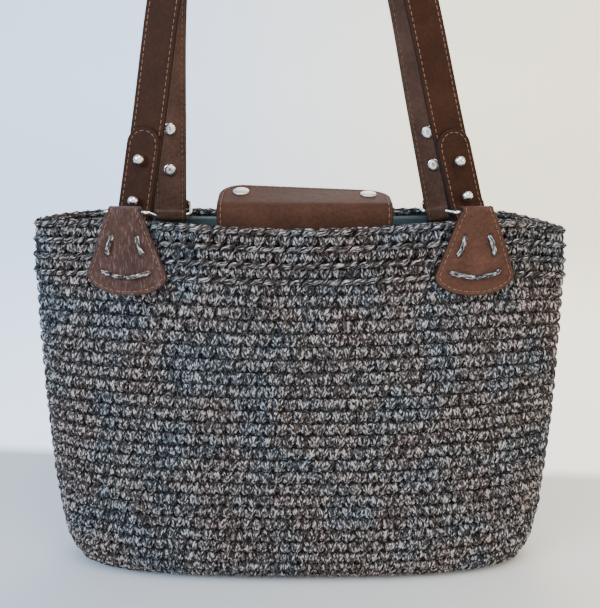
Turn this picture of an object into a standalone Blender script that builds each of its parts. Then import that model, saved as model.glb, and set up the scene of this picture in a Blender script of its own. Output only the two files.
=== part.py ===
"""Crocheted handbag with leather tabs, ring hardware, two stitched straps and a closing flap.

Frame: metres, +Z up, X along the bag's width, the front faces -Y.
Origin: centre of the flat base, on the surface that the bag stands on.
"""
import math

import bmesh
import bpy
from mathutils import Vector

# Crocheted body
BAG_WIDTH = 0.402
BAG_DEPTH = 0.114
BAG_HEIGHT = 0.2815
WALL = 0.007
BASE_WALL = 0.008
ROW_COUNT = 28
ROW_RELIEF = 0.0018
RIM_ROUND = 0.0026
FRONT_SAG = 0.0052
BACK_SAG = 0.0022
SAG_REACH = 0.70
LEFT_END_DROP = 0.0030
RIGHT_END_DROP = 0.0090
ROUND_FACETS = 40

# Clearance between pieces that touch on the real bag
GAP = 0.0003

# Lining
LINING_WALL = 0.0012
LINING_BELOW_RIM = 0.0045

# Closing flap
FLAP_WIDTH = 0.1235
FLAP_WALL = 0.0026
FLAP_SHIFT = 0.0034
FLAP_ROOT = 0.030
FLAP_RISE = 0.0081
FLAP_BEND_RADIUS = 0.009
FLAP_BEND = math.radians(74.0)
FLAP_REACH = 0.031
FLAP_CORNER = 0.018
FLAP_TWIST_DROP = 0.0026
RIVET_FROM_SIDE = 0.0157
RIVET_FROM_END = 0.0133
RIVET_HEAD = 0.0120
RIVET_DOME = 0.0018
RIVET_SHAFT = 0.0036
RIVET_FACETS = 12

# Leather tabs that are laced to the body and hold the rings
TAB_WIDTH = 0.0590
TAB_NECK = 0.0230
TAB_HEIGHT = 0.0625
TAB_SHOULDER = 0.0480
TAB_WALL = 0.0026
TAB_RETURN = 0.0045
TAB_FOLD_ABOVE_RIM = 0.0110
LACE_HOLE = 0.0028

# Wire rings
RING_WIRE = 0.0027
RING_SPAN = 0.0172
RING_SIDE_ROOM = 0.0033

# Straps
STRAP_WIDTH = 0.0250
STRAP_WALL = 0.0030
STRAP_RISE = 0.270
STRAP_APEX_SHIFT = -0.006
STRAP_PAIR_GAP = 0.0020
LAYER_GAP = 0.0004
TIP_LENGTH = 0.0130
LAYERS_PART = 0.0036
LAYERS_MEET = 0.0052

# Ball studs with screw backs
STUD_BALL = 0.0080
STUD_HEIGHT = 0.0074
STUD_SHAFT = 0.0030
STUD_BACK = 0.0095
STUD_BACK_WALL = 0.0016
STUD_BELOW_TIP = 0.0238
STUD_FACETS = 8

# Sections of the body, from the base up.
# Columns: height, half width and half depth as shares of the bag's sizes, squareness of the plan.
BODY_SECTIONS = (
    (0.000, 0.880, 0.700, 2.72),
    (0.014, 0.902, 0.810, 2.70),
    (0.040, 0.925, 0.915, 2.66),
    (0.085, 0.953, 0.976, 2.60),
    (0.200, 0.976, 1.000, 2.55),
    (0.400, 0.994, 0.995, 2.50),
    (0.650, 1.000, 0.965, 2.50),
    (0.870, 0.998, 0.930, 2.45),
    (1.000, 0.982, 0.915, 2.45),
)

# Heights of the sections on the smooth inner side, as shares of the bag's height.
INNER_HEIGHTS = (0.985, 0.72, 0.25, 0.085)

# Where the leather meets the body and how each ring and strap leg stands. Leans are turns from
# upright, seen from the front and from the side.
# Columns: name, side (-1 front, 1 back), end (-1 left, 1 right), place as a share of half the width,
# ring tilt, lean towards the middle, lean into the bag (degrees), height of the low stud above the
# ring's bar, distance between the two studs.
LEGS = (
    ("front_left", -1, -1, 0.6030, -15.0, 9.5, 6.0, 0.0104, 0.0292),
    ("front_right", -1, 1, 0.6090, -2.0, 14.0, 6.0, 0.0100, 0.0250),
    ("back_left", 1, -1, 0.5250, -34.0, 3.7, 11.0, 0.0370, 0.0315),
    ("back_right", 1, 1, 0.5730, -24.0, 13.4, 6.0, 0.0385, 0.0255),
)

# The course of a strap from the top of its folded end to the middle of its arch.
# Columns: rise as a share of the way to the arch's top, inset as a share of the way from the leg's
# own lean to the arch's middle, depth as a share of the arch's distance from the middle, turn as a
# share of the quarter turn that lays the strap flat on top.
STRAP_COURSE = (
    (0.480, 0.000, 0.80, 0.00),
    (0.830, 0.120, 1.00, 0.72),
    (0.965, 0.550, 1.00, 0.97),
)

# Lacing holes of a tab.
# Columns: distance from the middle as a share of half the tab's width, from the top as a share
# of its height.
LACE_HOLES = (
    (0.30, 0.325),
    (0.45, 0.540),
    (0.63, 0.725),
    (0.00, 0.795),
)

UP = Vector((0.0, 0.0, 1.0))


def table_value(rows, share, column):
    """Smooth curve through a table's column: cubic pieces with the slopes of their neighbours."""
    last = len(rows) - 1
    share = min(max(share, rows[0][0]), rows[last][0])
    i = 0
    while i < last - 1 and share > rows[i + 1][0]:
        i += 1

    def slope(k):
        low, high = rows[max(k - 1, 0)], rows[min(k + 1, last)]
        return (high[column] - low[column]) / (high[0] - low[0])

    start, end = rows[i], rows[i + 1]
    span = end[0] - start[0]
    t = (share - start[0]) / span
    return ((2 * t**3 - 3 * t**2 + 1) * start[column] + (t**3 - 2 * t**2 + t) * span * slope(i)
            + (3 * t**2 - 2 * t**3) * end[column] + (t**3 - t**2) * span * slope(i + 1))


def rim_drop(across, side):
    """How far the rim lies below the bag's height: a sag in the middle and a droop at each end."""
    sag = FRONT_SAG if side < 0 else BACK_SAG
    drop = LEFT_END_DROP if across < 0 else RIGHT_END_DROP
    reach = abs(across)
    if reach < SAG_REACH:
        return sag * math.cos(0.5 * math.pi * reach / SAG_REACH) ** 2
    return drop * ((reach - SAG_REACH) / (1.0 - SAG_REACH)) ** 2


def rim_height(x, side):
    """Height of the rim's top above the surface that the bag stands on."""
    half_width = 0.5 * BAG_WIDTH * BODY_SECTIONS[-1][1]
    return BAG_HEIGHT - rim_drop(max(-1.0, min(1.0, x / half_width)), side)


def body_half_sizes(share):
    """Half width, half depth and squareness of the body's outside at a share of its height."""
    return (0.5 * BAG_WIDTH * table_value(BODY_SECTIONS, share, 1),
            0.5 * BAG_DEPTH * table_value(BODY_SECTIONS, share, 2),
            table_value(BODY_SECTIONS, share, 3))


def body_depth(x, share, inset=0.0):
    """Distance of the body's front or back from the middle plane at a place along its width."""
    half_width, half_depth, squareness = body_half_sizes(share)
    across = min(1.0, abs(x) / (half_width - inset))
    return (half_depth - inset) * (1.0 - across**squareness) ** (1.0 / squareness)


def body_ring(share, inset, lower=0.0, flat_height=None):
    """One section of the body: a superellipse, moved in by inset, that follows the rim's line."""
    half_width, half_depth, squareness = body_half_sizes(share)
    power = 2.0 / squareness
    ring = []
    for i in range(ROUND_FACETS):
        angle = 2.0 * math.pi * i / ROUND_FACETS
        across = math.copysign(abs(math.cos(angle)) ** power, math.cos(angle))
        outward = math.copysign(abs(math.sin(angle)) ** power, math.sin(angle))
        height = share * BAG_HEIGHT - rim_drop(across, outward) * share**2 - lower
        if flat_height is not None:
            height = flat_height
        ring.append(Vector((across * (half_width - inset), outward * (half_depth - inset), height)))
    return ring


def new_material(name, color, roughness, metallic=0.0):
    """A plain Principled material."""
    material = bpy.data.materials.new(name)
    material.use_nodes = True
    shader = material.node_tree.nodes["Principled BSDF"]
    shader.inputs["Base Color"].default_value = (*color, 1.0)
    shader.inputs["Roughness"].default_value = roughness
    shader.inputs["Metallic"].default_value = metallic
    return material


def add_object(name, data, material=None):
    """Put an object into the handbag's collection, under its origin."""
    thing = bpy.data.objects.new(name, data)
    handbag.objects.link(thing)
    thing.parent = origin
    if material:
        data.materials.append(material)
    return thing


def loft_mesh(name, rings, close_end=True):
    """Skin sections of equal point count with faces and close the first and the last one."""
    mesh = bpy.data.meshes.new(name)
    grid = bmesh.new()
    rows = [[grid.verts.new(point) for point in ring] for ring in rings]
    count = len(rings[0])
    for low, high in zip(rows, rows[1:]):
        for i in range(count):
            j = (i + 1) % count
            grid.faces.new((low[i], low[j], high[j], high[i]))
    if close_end:
        grid.faces.new(rows[0])
    grid.faces.new(rows[-1])
    bmesh.ops.recalc_face_normals(grid, faces=grid.faces)
    grid.to_mesh(mesh)
    grid.free()
    return mesh


def add_cutter(name, places, radius, depth, sides, target):
    """Drill holes: places are (point, direction) pairs, and one cutter takes them all."""
    mesh = bpy.data.meshes.new(name)
    drill = bmesh.new()
    for point, direction in places:
        made = bmesh.ops.create_cone(drill, cap_ends=True, segments=sides, radius1=radius,
                                     radius2=radius, depth=depth)
        turn = direction.to_track_quat("Z", "Y").to_matrix()
        bmesh.ops.rotate(drill, verts=made["verts"], matrix=turn)
        bmesh.ops.translate(drill, verts=made["verts"], vec=point)
    drill.to_mesh(mesh)
    drill.free()
    cutter = bpy.data.objects.new(name, mesh)
    cutters.objects.link(cutter)
    cutter.hide_render = True
    cutter.display_type = "WIRE"
    cut = target.modifiers.new("holes", "BOOLEAN")
    cut.operation = "DIFFERENCE"
    cut.solver = "EXACT"
    cut.object = cutter


def add_turned(name, profile, facets, place, axis, material):
    """A turned piece: the profile of (radius, height) runs down its outer side and is screwed."""
    mesh = bpy.data.meshes.new(name)
    points = [(radius, 0.0, height) for radius, height in profile]
    mesh.from_pydata(points, [(i, i + 1) for i in range(len(points) - 1)], [])
    piece = add_object(name, mesh, material)
    piece.location = place
    piece.rotation_mode = "QUATERNION"
    piece.rotation_quaternion = axis.to_track_quat("Z", "Y")
    screw = piece.modifiers.new("turn", "SCREW")
    screw.steps = facets
    screw.render_steps = facets
    screw.use_merge_vertices = True
    screw.merge_threshold = 0.00001
    return piece


def make_body(material):
    """Crocheted shell: ribbed rows outside, over the rounded rim, smooth inside down to the floor."""
    rings = [body_ring(0.0, 0.0, flat_height=0.0)]
    for row in range(ROW_COUNT):
        rings.append(body_ring((row + 0.5) / ROW_COUNT, 0.0))
        if row < ROW_COUNT - 1:
            rings.append(body_ring((row + 1.0) / ROW_COUNT, ROW_RELIEF))
    rings.append(body_ring(1.0, RIM_ROUND))
    rings.append(body_ring(1.0, WALL - RIM_ROUND))
    for share in INNER_HEIGHTS:
        rings.append(body_ring(share, WALL))
    floor_share = BASE_WALL / BAG_HEIGHT
    rings.append(body_ring(floor_share, WALL, flat_height=BASE_WALL))
    return add_object("body", loft_mesh("body", rings), material)


def make_lining(material):
    """Thin satin cup inside the shell: an open surface that Solidify thickens inwards."""
    inset = WALL + GAP
    floor = BASE_WALL + GAP
    rings = [body_ring(1.0, inset, lower=LINING_BELOW_RIM)]
    for share in INNER_HEIGHTS[1:]:
        rings.append(body_ring(share, inset))
    rings.append(body_ring(floor / BAG_HEIGHT, inset + GAP, flat_height=floor))
    mesh = loft_mesh("lining", rings, close_end=False)
    if mesh.polygons[0].normal.dot(mesh.polygons[0].center) < 0.0:
        mesh.flip_normals()
    lining = add_object("lining", mesh, material)
    wall = lining.modifiers.new("wall", "SOLIDIFY")
    wall.thickness = LINING_WALL
    wall.offset = -1.0
    wall.use_even_offset = True
    return lining


def flap_inset():
    """Distance of the flap's front face from the body's outside: wall, lining and two gaps."""
    return WALL + LINING_WALL + 2.0 * GAP


def flap_length():
    """Length of the flap along its middle line."""
    return FLAP_ROOT + FLAP_RISE + FLAP_BEND_RADIUS * FLAP_BEND + FLAP_REACH


def flap_middle(along):
    """The flap's middle line in its own plane: (outward, height above the rim, bend so far)."""
    straight = FLAP_ROOT + FLAP_RISE
    angle = min(max(0.0, along - straight) / FLAP_BEND_RADIUS, FLAP_BEND)
    reach = max(0.0, along - straight - FLAP_BEND_RADIUS * FLAP_BEND)
    outward = -FLAP_BEND_RADIUS * (1.0 - math.cos(angle)) - math.sin(angle) * reach
    height = min(along, straight) - FLAP_ROOT + FLAP_BEND_RADIUS * math.sin(angle)
    return outward, height + math.cos(angle) * reach, angle


def flap_point(along, across, lift=0.0):
    """A point of the flap: it follows the wall's curve at its root and straightens to its end.

    Lift is the distance from the middle of the leather, positive on the outer face.
    """
    outward, height, angle = flap_middle(along)
    free = max(0.0, along - FLAP_ROOT) / (flap_length() - FLAP_ROOT)
    inset = flap_inset() + 0.5 * FLAP_WALL
    middle = body_depth(FLAP_SHIFT, 1.0, inset)
    follow = (body_depth(FLAP_SHIFT + across, 1.0, inset) - middle) * (1.0 - free)
    drop = FLAP_TWIST_DROP * free**2 * across / (0.5 * FLAP_WIDTH)
    out = middle + follow + outward + math.cos(angle) * lift
    up = rim_height(FLAP_SHIFT, -1) + height - drop + math.sin(angle) * lift
    return Vector((FLAP_SHIFT + across, -out, up))


def flap_half_width(along):
    """Half the flap's width: full, with a round corner at each side of the free end."""
    inner = max(0.0, FLAP_CORNER - (flap_length() - along))
    return 0.5 * FLAP_WIDTH - FLAP_CORNER + math.sqrt(max(0.0, FLAP_CORNER**2 - inner**2))


def rivet_places():
    """Middle of the leather at each rivet and the direction of its outer face."""
    along = flap_length() - RIVET_FROM_END
    near = 0.004
    places = []
    for end, name in ((-1, "left"), (1, "right")):
        across = end * (0.5 * FLAP_WIDTH - RIVET_FROM_SIDE)
        crosswise = flap_point(along, across + near) - flap_point(along, across - near)
        lengthwise = flap_point(along + near, across) - flap_point(along - near, across)
        places.append((name, flap_point(along, across), crosswise.cross(lengthwise).normalized()))
    return places


def make_flap(material):
    """Leather flap sewn inside the front wall, bent back over the opening, with two rivets."""
    straight = FLAP_ROOT + FLAP_RISE
    course = [0.0, 0.5 * FLAP_ROOT, straight]
    bend_steps = 5
    course += [straight + FLAP_BEND_RADIUS * FLAP_BEND * (i + 1) / bend_steps
               for i in range(bend_steps)]
    course += [flap_length() - FLAP_CORNER * (1.0 - math.sin(math.radians(angle)))
               for angle in (0.0, 24.0, 46.0, 66.0, 82.0)]
    thick = 0.5 * FLAP_WALL
    spread = (-1.0, -0.62, -0.22, 0.22, 0.62, 1.0)
    rings = []
    for along in course:
        half = flap_half_width(along)
        outer = [flap_point(along, share * half, thick) for share in spread]
        inner = [flap_point(along, share * half, -thick) for share in reversed(spread)]
        rings.append(outer + inner)
    flap = add_object("flap", loft_mesh("flap", rings), material)
    drills = [(point, normal) for name, point, normal in rivet_places()]
    add_cutter("flap_rivet_holes", drills, 0.5 * RIVET_SHAFT + GAP, 4.0 * FLAP_WALL, 10, flap)


def make_rivets(material):
    """Domed caps on both faces of the flap, joined by a shaft through it."""
    head, shaft = 0.5 * RIVET_HEAD, 0.5 * RIVET_SHAFT
    face = 0.5 * FLAP_WALL + GAP
    profile = [(0.0, face + RIVET_DOME), (0.62 * head, face + 0.8 * RIVET_DOME),
               (head, face + 0.25 * RIVET_DOME), (head, face), (shaft, face), (shaft, -face),
               (head, -face), (head, -face - 0.25 * RIVET_DOME),
               (0.0, -face - 0.6 * RIVET_DOME)]
    for name, point, normal in rivet_places():
        add_turned("rivet_" + name, profile, RIVET_FACETS, point, normal, material)


class Leg:
    """Where one tab, ring and strap end stand: the frame of the tab and the lie of the strap."""

    def __init__(self, row):
        (self.name, self.side, self.end, place, tilt, lean_in, lean_back,
         self.low_stud, self.stud_step) = row
        x = self.end * place * 0.5 * BAG_WIDTH
        step = 0.002
        self.foot = Vector((x, self.side * body_depth(x, 1.0), rim_height(x, self.side)))
        left = Vector((x - step, self.side * body_depth(x - step, 1.0), 0.0))
        right = Vector((x + step, self.side * body_depth(x + step, 1.0), 0.0))
        self.across = (right - left).normalized()
        self.out = Vector((-self.across.y, self.across.x, 0.0))
        if self.out.y * self.side < 0.0:
            self.out.negate()
        self.tilt = math.radians(tilt)
        outward, above_rim = tab_bar_place()
        self.tab_bar = self.foot + self.out * outward + UP * above_rim
        self.ring_way = UP * math.sin(self.tilt) - self.out * math.cos(self.tilt)
        self.strap_bar = self.tab_bar + self.ring_way * RING_SPAN
        lean_in, lean_back = math.radians(lean_in), math.radians(lean_back)
        sideways = -self.end * math.sin(lean_in)
        inwards = -self.side * math.sin(lean_back)
        self.up = Vector((sideways, inwards, math.sqrt(1.0 - sideways**2 - inwards**2)))
        self.face = self.up.cross(self.across).normalized()
        if self.face.dot(self.out) < 0.0:
            self.face.negate()
        self.wide = self.face.cross(self.up).normalized()
        self.skew = abs(self.up.dot(self.across))
        self.fold_length = self.low_stud + self.stud_step + STUD_BELOW_TIP

    def strap_point(self, out, up):
        """A point on the strap end's middle line, in the plane across its width."""
        return self.strap_bar + self.face * out + self.up * up


def tab_fold_radius():
    """Radius of the tab's middle line round the ring's wire."""
    return 0.5 * RING_WIRE + GAP + 0.5 * TAB_WALL


def tab_bar_place():
    """Where the ring's bar lies in the tab's fold: outward from the body's side, above the rim."""
    outward = GAP + 0.5 * TAB_WALL - tab_fold_radius()
    return outward, TAB_FOLD_ABOVE_RIM - TAB_WALL - GAP - 0.5 * RING_WIRE


def tab_half_width(from_top):
    """Half the tab's width: straight flare from neck to shoulder, then half an oval."""
    neck, wide = 0.5 * TAB_NECK, 0.5 * TAB_WIDTH
    if from_top <= TAB_SHOULDER:
        return neck + (wide - neck) * max(0.0, from_top) / TAB_SHOULDER
    oval = (from_top - TAB_SHOULDER) / (TAB_HEIGHT - TAB_SHOULDER)
    return wide * math.sqrt(max(0.0, 1.0 - oval**2))


def tab_point(leg, across, up, outward):
    """A point of a tab: the panel lies on the body's curved side, the neck grows flat above it."""
    x = leg.foot.x + leg.across.x * across
    share = (leg.foot.z + min(up, 0.0)) / BAG_HEIGHT
    flat = abs(leg.foot.y + leg.across.y * across)
    follow = (body_depth(x, min(share, 1.0)) - flat) * abs(leg.out.y)
    fade = 1.0 - min(1.0, max(0.0, up) / TAB_FOLD_ABOVE_RIM)
    return leg.foot + leg.across * across + UP * up + leg.out * (outward + follow * fade)


def make_tab(leg, material):
    """Leather tab: panel on the body, neck above the rim, fold round the ring, short return."""
    radius = tab_fold_radius()
    bar_out, bar_up = tab_bar_place()
    panel = bar_out + radius
    course = [(bar_out - radius, bar_up - TAB_RETURN, -1.0, 0.0, 0.0)]
    arc_steps = 6
    for i in range(arc_steps + 1):
        angle = math.pi * (1.0 - i / arc_steps)
        course.append((bar_out + radius * math.cos(angle), bar_up + radius * math.sin(angle),
                       math.cos(angle), math.sin(angle), 0.0))
    for share in (0.18, 0.42, 0.66):
        course.append((panel, TAB_FOLD_ABOVE_RIM - share * TAB_HEIGHT, 1.0, 0.0,
                       share * TAB_HEIGHT))
    for angle in (90.0, 66.0, 44.0, 24.0, 9.0):
        from_top = TAB_SHOULDER + (TAB_HEIGHT - TAB_SHOULDER) * math.cos(math.radians(angle))
        course.append((panel, TAB_FOLD_ABOVE_RIM - from_top, 1.0, 0.0, from_top))
    rings = []
    spread = (-1.0, -0.33, 0.33, 1.0)
    for out, up, normal_out, normal_up, from_top in course:
        half = tab_half_width(from_top)
        thick = 0.5 * TAB_WALL
        outer = [tab_point(leg, s * half, up + normal_up * thick, out + normal_out * thick)
                 for s in spread]
        inner = [tab_point(leg, s * half, up - normal_up * thick, out - normal_out * thick)
                 for s in reversed(spread)]
        rings.append(outer + inner)
    tab = add_object("tab_" + leg.name, loft_mesh("tab_" + leg.name, rings), material)
    drills = []
    for across, down in LACE_HOLES:
        for end in ((-1, 1) if across else (1,)):
            up = TAB_FOLD_ABOVE_RIM - down * TAB_HEIGHT
            point = tab_point(leg, end * across * 0.5 * TAB_WIDTH, up, panel)
            drills.append((point, leg.out))
    add_cutter("lace_holes_" + leg.name, drills, 0.5 * LACE_HOLE, 3.0 * TAB_WALL, 6, tab)


def make_ring(leg, material):
    """Wire ring: a rounded rectangle with one bar in the tab's fold and one in the strap's."""
    half = 0.5 * STRAP_WIDTH + RING_SIDE_ROOM
    corner = RING_SIDE_ROOM
    middle = leg.tab_bar + leg.ring_way * (0.5 * RING_SPAN)
    curve = bpy.data.curves.new("ring_" + leg.name, "CURVE")
    curve.dimensions = "3D"
    spline = curve.splines.new("POLY")
    points = []
    corners = ((1, 1, 0), (-1, 1, 90), (-1, -1, 180), (1, -1, 270))
    for sign_across, sign_way, start in corners:
        for step in range(4):
            angle = math.radians(start + 30 * step)
            across = sign_across * (half - corner) + corner * math.cos(angle)
            way = sign_way * (0.5 * RING_SPAN - corner) + corner * math.sin(angle)
            points.append(middle + leg.across * across + leg.ring_way * way)
    spline.points.add(len(points) - 1)
    for target, point in zip(spline.points, points):
        target.co = (*point, 1.0)
    spline.use_cyclic_u = True
    curve.bevel_depth = 0.5 * RING_WIRE
    curve.bevel_resolution = 1
    add_object("ring_" + leg.name, curve, material)


def strap_layer_offset():
    """Distance of each layer's middle from the middle between the two layers."""
    return 0.5 * (STRAP_WALL + LAYER_GAP)


def strap_end_stations(leg):
    """Folded strap end, from its tip down, round the ring's bar and up to the tip's height.

    Each station is (middle, width direction, thickness direction, half width).
    """
    near = strap_layer_offset()
    wide = 0.5 * RING_WIRE + GAP + 0.5 * STRAP_WALL
    lowest = -0.5 * STRAP_WIDTH * leg.skew
    full = 0.5 * STRAP_WIDTH
    stations = []
    for angle in (10.0, 30.0, 55.0, 90.0):
        turn = math.radians(angle)
        height = leg.fold_length - TIP_LENGTH * (1.0 - math.cos(turn))
        stations.append((near, height, 1.0, 0.0, full * math.sin(turn)))
    stations.append((near, LAYERS_MEET, 1.0, 0.0, full))
    stations.append((wide, LAYERS_PART, 1.0, 0.0, full))
    arc_steps = 6
    for i in range(arc_steps + 1):
        angle = math.pi * i / arc_steps
        stations.append((wide * math.cos(angle), lowest - wide * math.sin(angle),
                         math.cos(angle), -math.sin(angle), full))
    stations.append((-wide, LAYERS_PART, -1.0, 0.0, full))
    stations.append((-near, LAYERS_MEET, -1.0, 0.0, full))
    stations.append((-near, leg.fold_length, -1.0, 0.0, full))
    return [(leg.strap_point(out, up), leg.wide, leg.face * face + leg.up * rise, half)
            for out, up, face, rise, half in stations]


def curve_through(points, start_way, end_way, steps):
    """Smooth space curve through points: cubic pieces with their neighbours' directions."""
    ways = [start_way]
    for before, after in zip(points, points[2:]):
        ways.append((after - before).normalized())
    ways.append(end_way)
    line = []
    for i in range(len(points) - 1):
        start, end = points[i], points[i + 1]
        reach = (end - start).length
        for k in range(steps):
            t = k / steps
            line.append(start * (2 * t**3 - 3 * t**2 + 1) + ways[i] * reach * (t**3 - 2 * t**2 + t)
                        + end * (3 * t**2 - 2 * t**3) + ways[i + 1] * reach * (t**3 - t**2))
    line.append(points[-1])
    return line


def strap_course_point(leg, top, apex, row):
    """A point of the strap between a folded end's top and the arch's middle."""
    rise, inset, depth, turn = row
    height = top.z + rise * (apex.z - top.z)
    leaning = top.x + leg.up.x / leg.up.z * (height - top.z)
    return Vector((leaning + inset * (apex.x - leaning), depth * apex.y, height))


def strap_arch_stations(left, right):
    """The single strap between its two folded ends, which turns flat over the top of the arch."""
    side = left.side
    near = strap_layer_offset()
    tops = [leg.strap_point(-near, leg.fold_length) for leg in (left, right)]
    pair = 0.5 * (STRAP_WIDTH + STRAP_PAIR_GAP)
    apex = Vector((STRAP_APEX_SHIFT, side * pair, BAG_HEIGHT + STRAP_RISE))
    rising = [strap_course_point(left, tops[0], apex, row) for row in STRAP_COURSE]
    falling = [strap_course_point(right, tops[1], apex, row) for row in reversed(STRAP_COURSE)]
    points = [tops[0]] + rising + [apex] + falling + [tops[1]]
    half_turns = [0.0] + [row[3] for row in STRAP_COURSE]
    turns = half_turns + [1.0] + half_turns[::-1]
    steps = 5
    line = curve_through(points, left.up, -right.up, steps)
    outward = Vector((0.0, side, 0.0))
    quarter = 0.5 * math.pi * side
    stations = []
    for i in range(1, len(line) - 1):
        way = (line[i + 1] - line[i - 1]).normalized()
        base = (outward - way * outward.dot(way)).normalized()
        sideways = way.cross(base)
        leg = left if i < len(line) // 2 else right
        rest = math.atan2(leg.face.dot(sideways), leg.face.dot(base))
        part, share = i // steps, (i % steps) / steps
        turn = turns[part] + (turns[min(part + 1, len(turns) - 1)] - turns[part]) * share
        ease = turn * turn * (3.0 - 2.0 * turn)
        angle = rest * (1.0 - ease) + quarter * ease
        face = base * math.cos(angle) + sideways * math.sin(angle)
        wide = face.cross(way)
        stations.append((line[i], wide, -face, 0.5 * STRAP_WIDTH))
    return stations


def make_strap(name, left, right, material):
    """One strap: folded end, arch, folded end, skinned as a chain of flat sections."""
    stations = strap_end_stations(left) + strap_arch_stations(left, right)
    for middle, wide, face, half in reversed(strap_end_stations(right)):
        stations.append((middle, -wide, face, half))
    rings = []
    for middle, wide, face, half in stations:
        thick = face * (0.5 * STRAP_WALL)
        rings.append([middle + wide * half + thick, middle - wide * half + thick,
                      middle - wide * half - thick, middle + wide * half - thick])
    strap = add_object("strap_" + name, loft_mesh("strap_" + name, rings), material)
    drills = [(leg.strap_point(0.0, height), leg.face)
              for leg in (left, right) for height in stud_heights(leg)]
    add_cutter("stud_holes_" + name, drills, 0.5 * STUD_SHAFT + GAP, 5.0 * STRAP_WALL, 10, strap)


def stud_heights(leg):
    """Heights of the low and the high stud above the ring's bar, along the strap."""
    return leg.low_stud, leg.low_stud + leg.stud_step


def make_studs(leg, material):
    """Ball studs through both layers of a folded strap end, each with its screw back."""
    ball, shaft, back = 0.5 * STUD_BALL, 0.5 * STUD_SHAFT, 0.5 * STUD_BACK
    through = 2.0 * strap_layer_offset() + STRAP_WALL + GAP
    profile = [(0.0, STUD_HEIGHT), (0.70 * ball, 0.85 * STUD_HEIGHT),
               (ball, 0.47 * STUD_HEIGHT), (0.66 * ball, GAP), (shaft, GAP),
               (shaft, -through), (back, -through), (0.92 * back, -through - STUD_BACK_WALL),
               (0.0, -through - STUD_BACK_WALL)]
    face = strap_layer_offset() + 0.5 * STRAP_WALL
    for label, height in zip(("low", "high"), stud_heights(leg)):
        add_turned("stud_" + leg.name + "_" + label, profile, STUD_FACETS,
                   leg.strap_point(face, height), leg.face, material)


for old in list(bpy.data.objects):
    bpy.data.objects.remove(old, do_unlink=True)

handbag = bpy.data.collections.new("handbag")
cutters = bpy.data.collections.new("cutters")
bpy.context.scene.collection.children.link(handbag)
bpy.context.scene.collection.children.link(cutters)
origin = bpy.data.objects.new("handbag_origin", None)
handbag.objects.link(origin)

yarn = new_material("melange_yarn", (0.22, 0.22, 0.23), 0.9)
satin = new_material("satin_lining", (0.10, 0.19, 0.21), 0.4)
tab_leather = new_material("tab_leather", (0.13, 0.055, 0.035), 0.45)
strap_leather = new_material("strap_leather", (0.07, 0.030, 0.018), 0.5)
flap_leather = new_material("flap_leather", (0.11, 0.050, 0.028), 0.45)
metal = new_material("polished_metal", (0.72, 0.71, 0.69), 0.2, 1.0)

make_body(yarn)
make_lining(satin)
make_flap(flap_leather)
make_rivets(metal)
legs = {row[0]: Leg(row) for row in LEGS}
for one_leg in legs.values():
    make_tab(one_leg, tab_leather)
    make_ring(one_leg, metal)
    make_studs(one_leg, metal)
for part_name in ("front", "back"):
    make_strap(part_name, legs[part_name + "_left"], legs[part_name + "_right"], strap_leather)
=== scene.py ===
"""Crocheted handbag dressed over its packed frame: yarn stitches, leather, metal and light."""
import math

import bmesh
import bpy
import numpy as np
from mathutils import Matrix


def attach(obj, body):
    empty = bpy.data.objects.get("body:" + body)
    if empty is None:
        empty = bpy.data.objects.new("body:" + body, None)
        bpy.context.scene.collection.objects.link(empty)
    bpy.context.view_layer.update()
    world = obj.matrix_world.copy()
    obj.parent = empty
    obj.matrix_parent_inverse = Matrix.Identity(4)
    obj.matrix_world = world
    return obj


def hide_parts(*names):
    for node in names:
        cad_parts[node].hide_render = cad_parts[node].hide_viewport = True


bl_info = {
    "name": "Crocheted Handbag",
    "version": (1, 0, 0),
    "blender": (4, 5, 0),
    "location": "3D View > Sidebar > Handbag",
    "description": "Crocheted melange handbag with stitched leather straps, tabs and flap",
    "category": "Add Mesh",
}

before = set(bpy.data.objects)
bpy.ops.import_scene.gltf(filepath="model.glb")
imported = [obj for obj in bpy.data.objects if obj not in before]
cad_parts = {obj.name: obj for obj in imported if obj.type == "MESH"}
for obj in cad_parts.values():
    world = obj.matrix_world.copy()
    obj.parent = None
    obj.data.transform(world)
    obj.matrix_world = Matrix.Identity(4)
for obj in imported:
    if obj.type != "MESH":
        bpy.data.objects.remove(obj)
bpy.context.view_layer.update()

# Sizes of the frame, in metres, as the CAD has them
BAG_WIDTH = 0.402
BAG_DEPTH = 0.114
BAG_HEIGHT = 0.2815
WALL = 0.007
BASE_WALL = 0.008
GAP = 0.0003
FRONT_SAG, BACK_SAG, SAG_REACH = 0.0052, 0.0022, 0.70
LEFT_END_DROP, RIGHT_END_DROP = 0.0030, 0.0090
LINING_WALL, LINING_BELOW_RIM = 0.0012, 0.0045
FLAP_WIDTH, FLAP_WALL, FLAP_SHIFT = 0.1235, 0.0026, 0.0034
FLAP_ROOT, FLAP_RISE, FLAP_BEND_RADIUS = 0.030, 0.0081, 0.009
FLAP_BEND, FLAP_REACH, FLAP_CORNER = math.radians(74.0), 0.031, 0.018
FLAP_TWIST_DROP = 0.0026
RIVET_FROM_SIDE, RIVET_FROM_END, RIVET_HEAD = 0.0157, 0.0133, 0.0120
TAB_WIDTH, TAB_NECK, TAB_HEIGHT, TAB_SHOULDER = 0.0590, 0.0230, 0.0625, 0.0480
TAB_WALL, TAB_RETURN, TAB_FOLD_ABOVE_RIM = 0.0026, 0.0045, 0.0110
RING_WIRE, RING_SPAN, RING_SIDE_ROOM = 0.0027, 0.0172, 0.0033
STRAP_WIDTH, STRAP_WALL, STRAP_RISE = 0.0250, 0.0030, 0.270
STRAP_APEX_SHIFT, STRAP_PAIR_GAP, LAYER_GAP = -0.006, 0.0020, 0.0004
TIP_LENGTH, LAYERS_PART, LAYERS_MEET = 0.0130, 0.0036, 0.0052
STUD_BALL, STUD_HEIGHT = 0.0080, 0.0074
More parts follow.
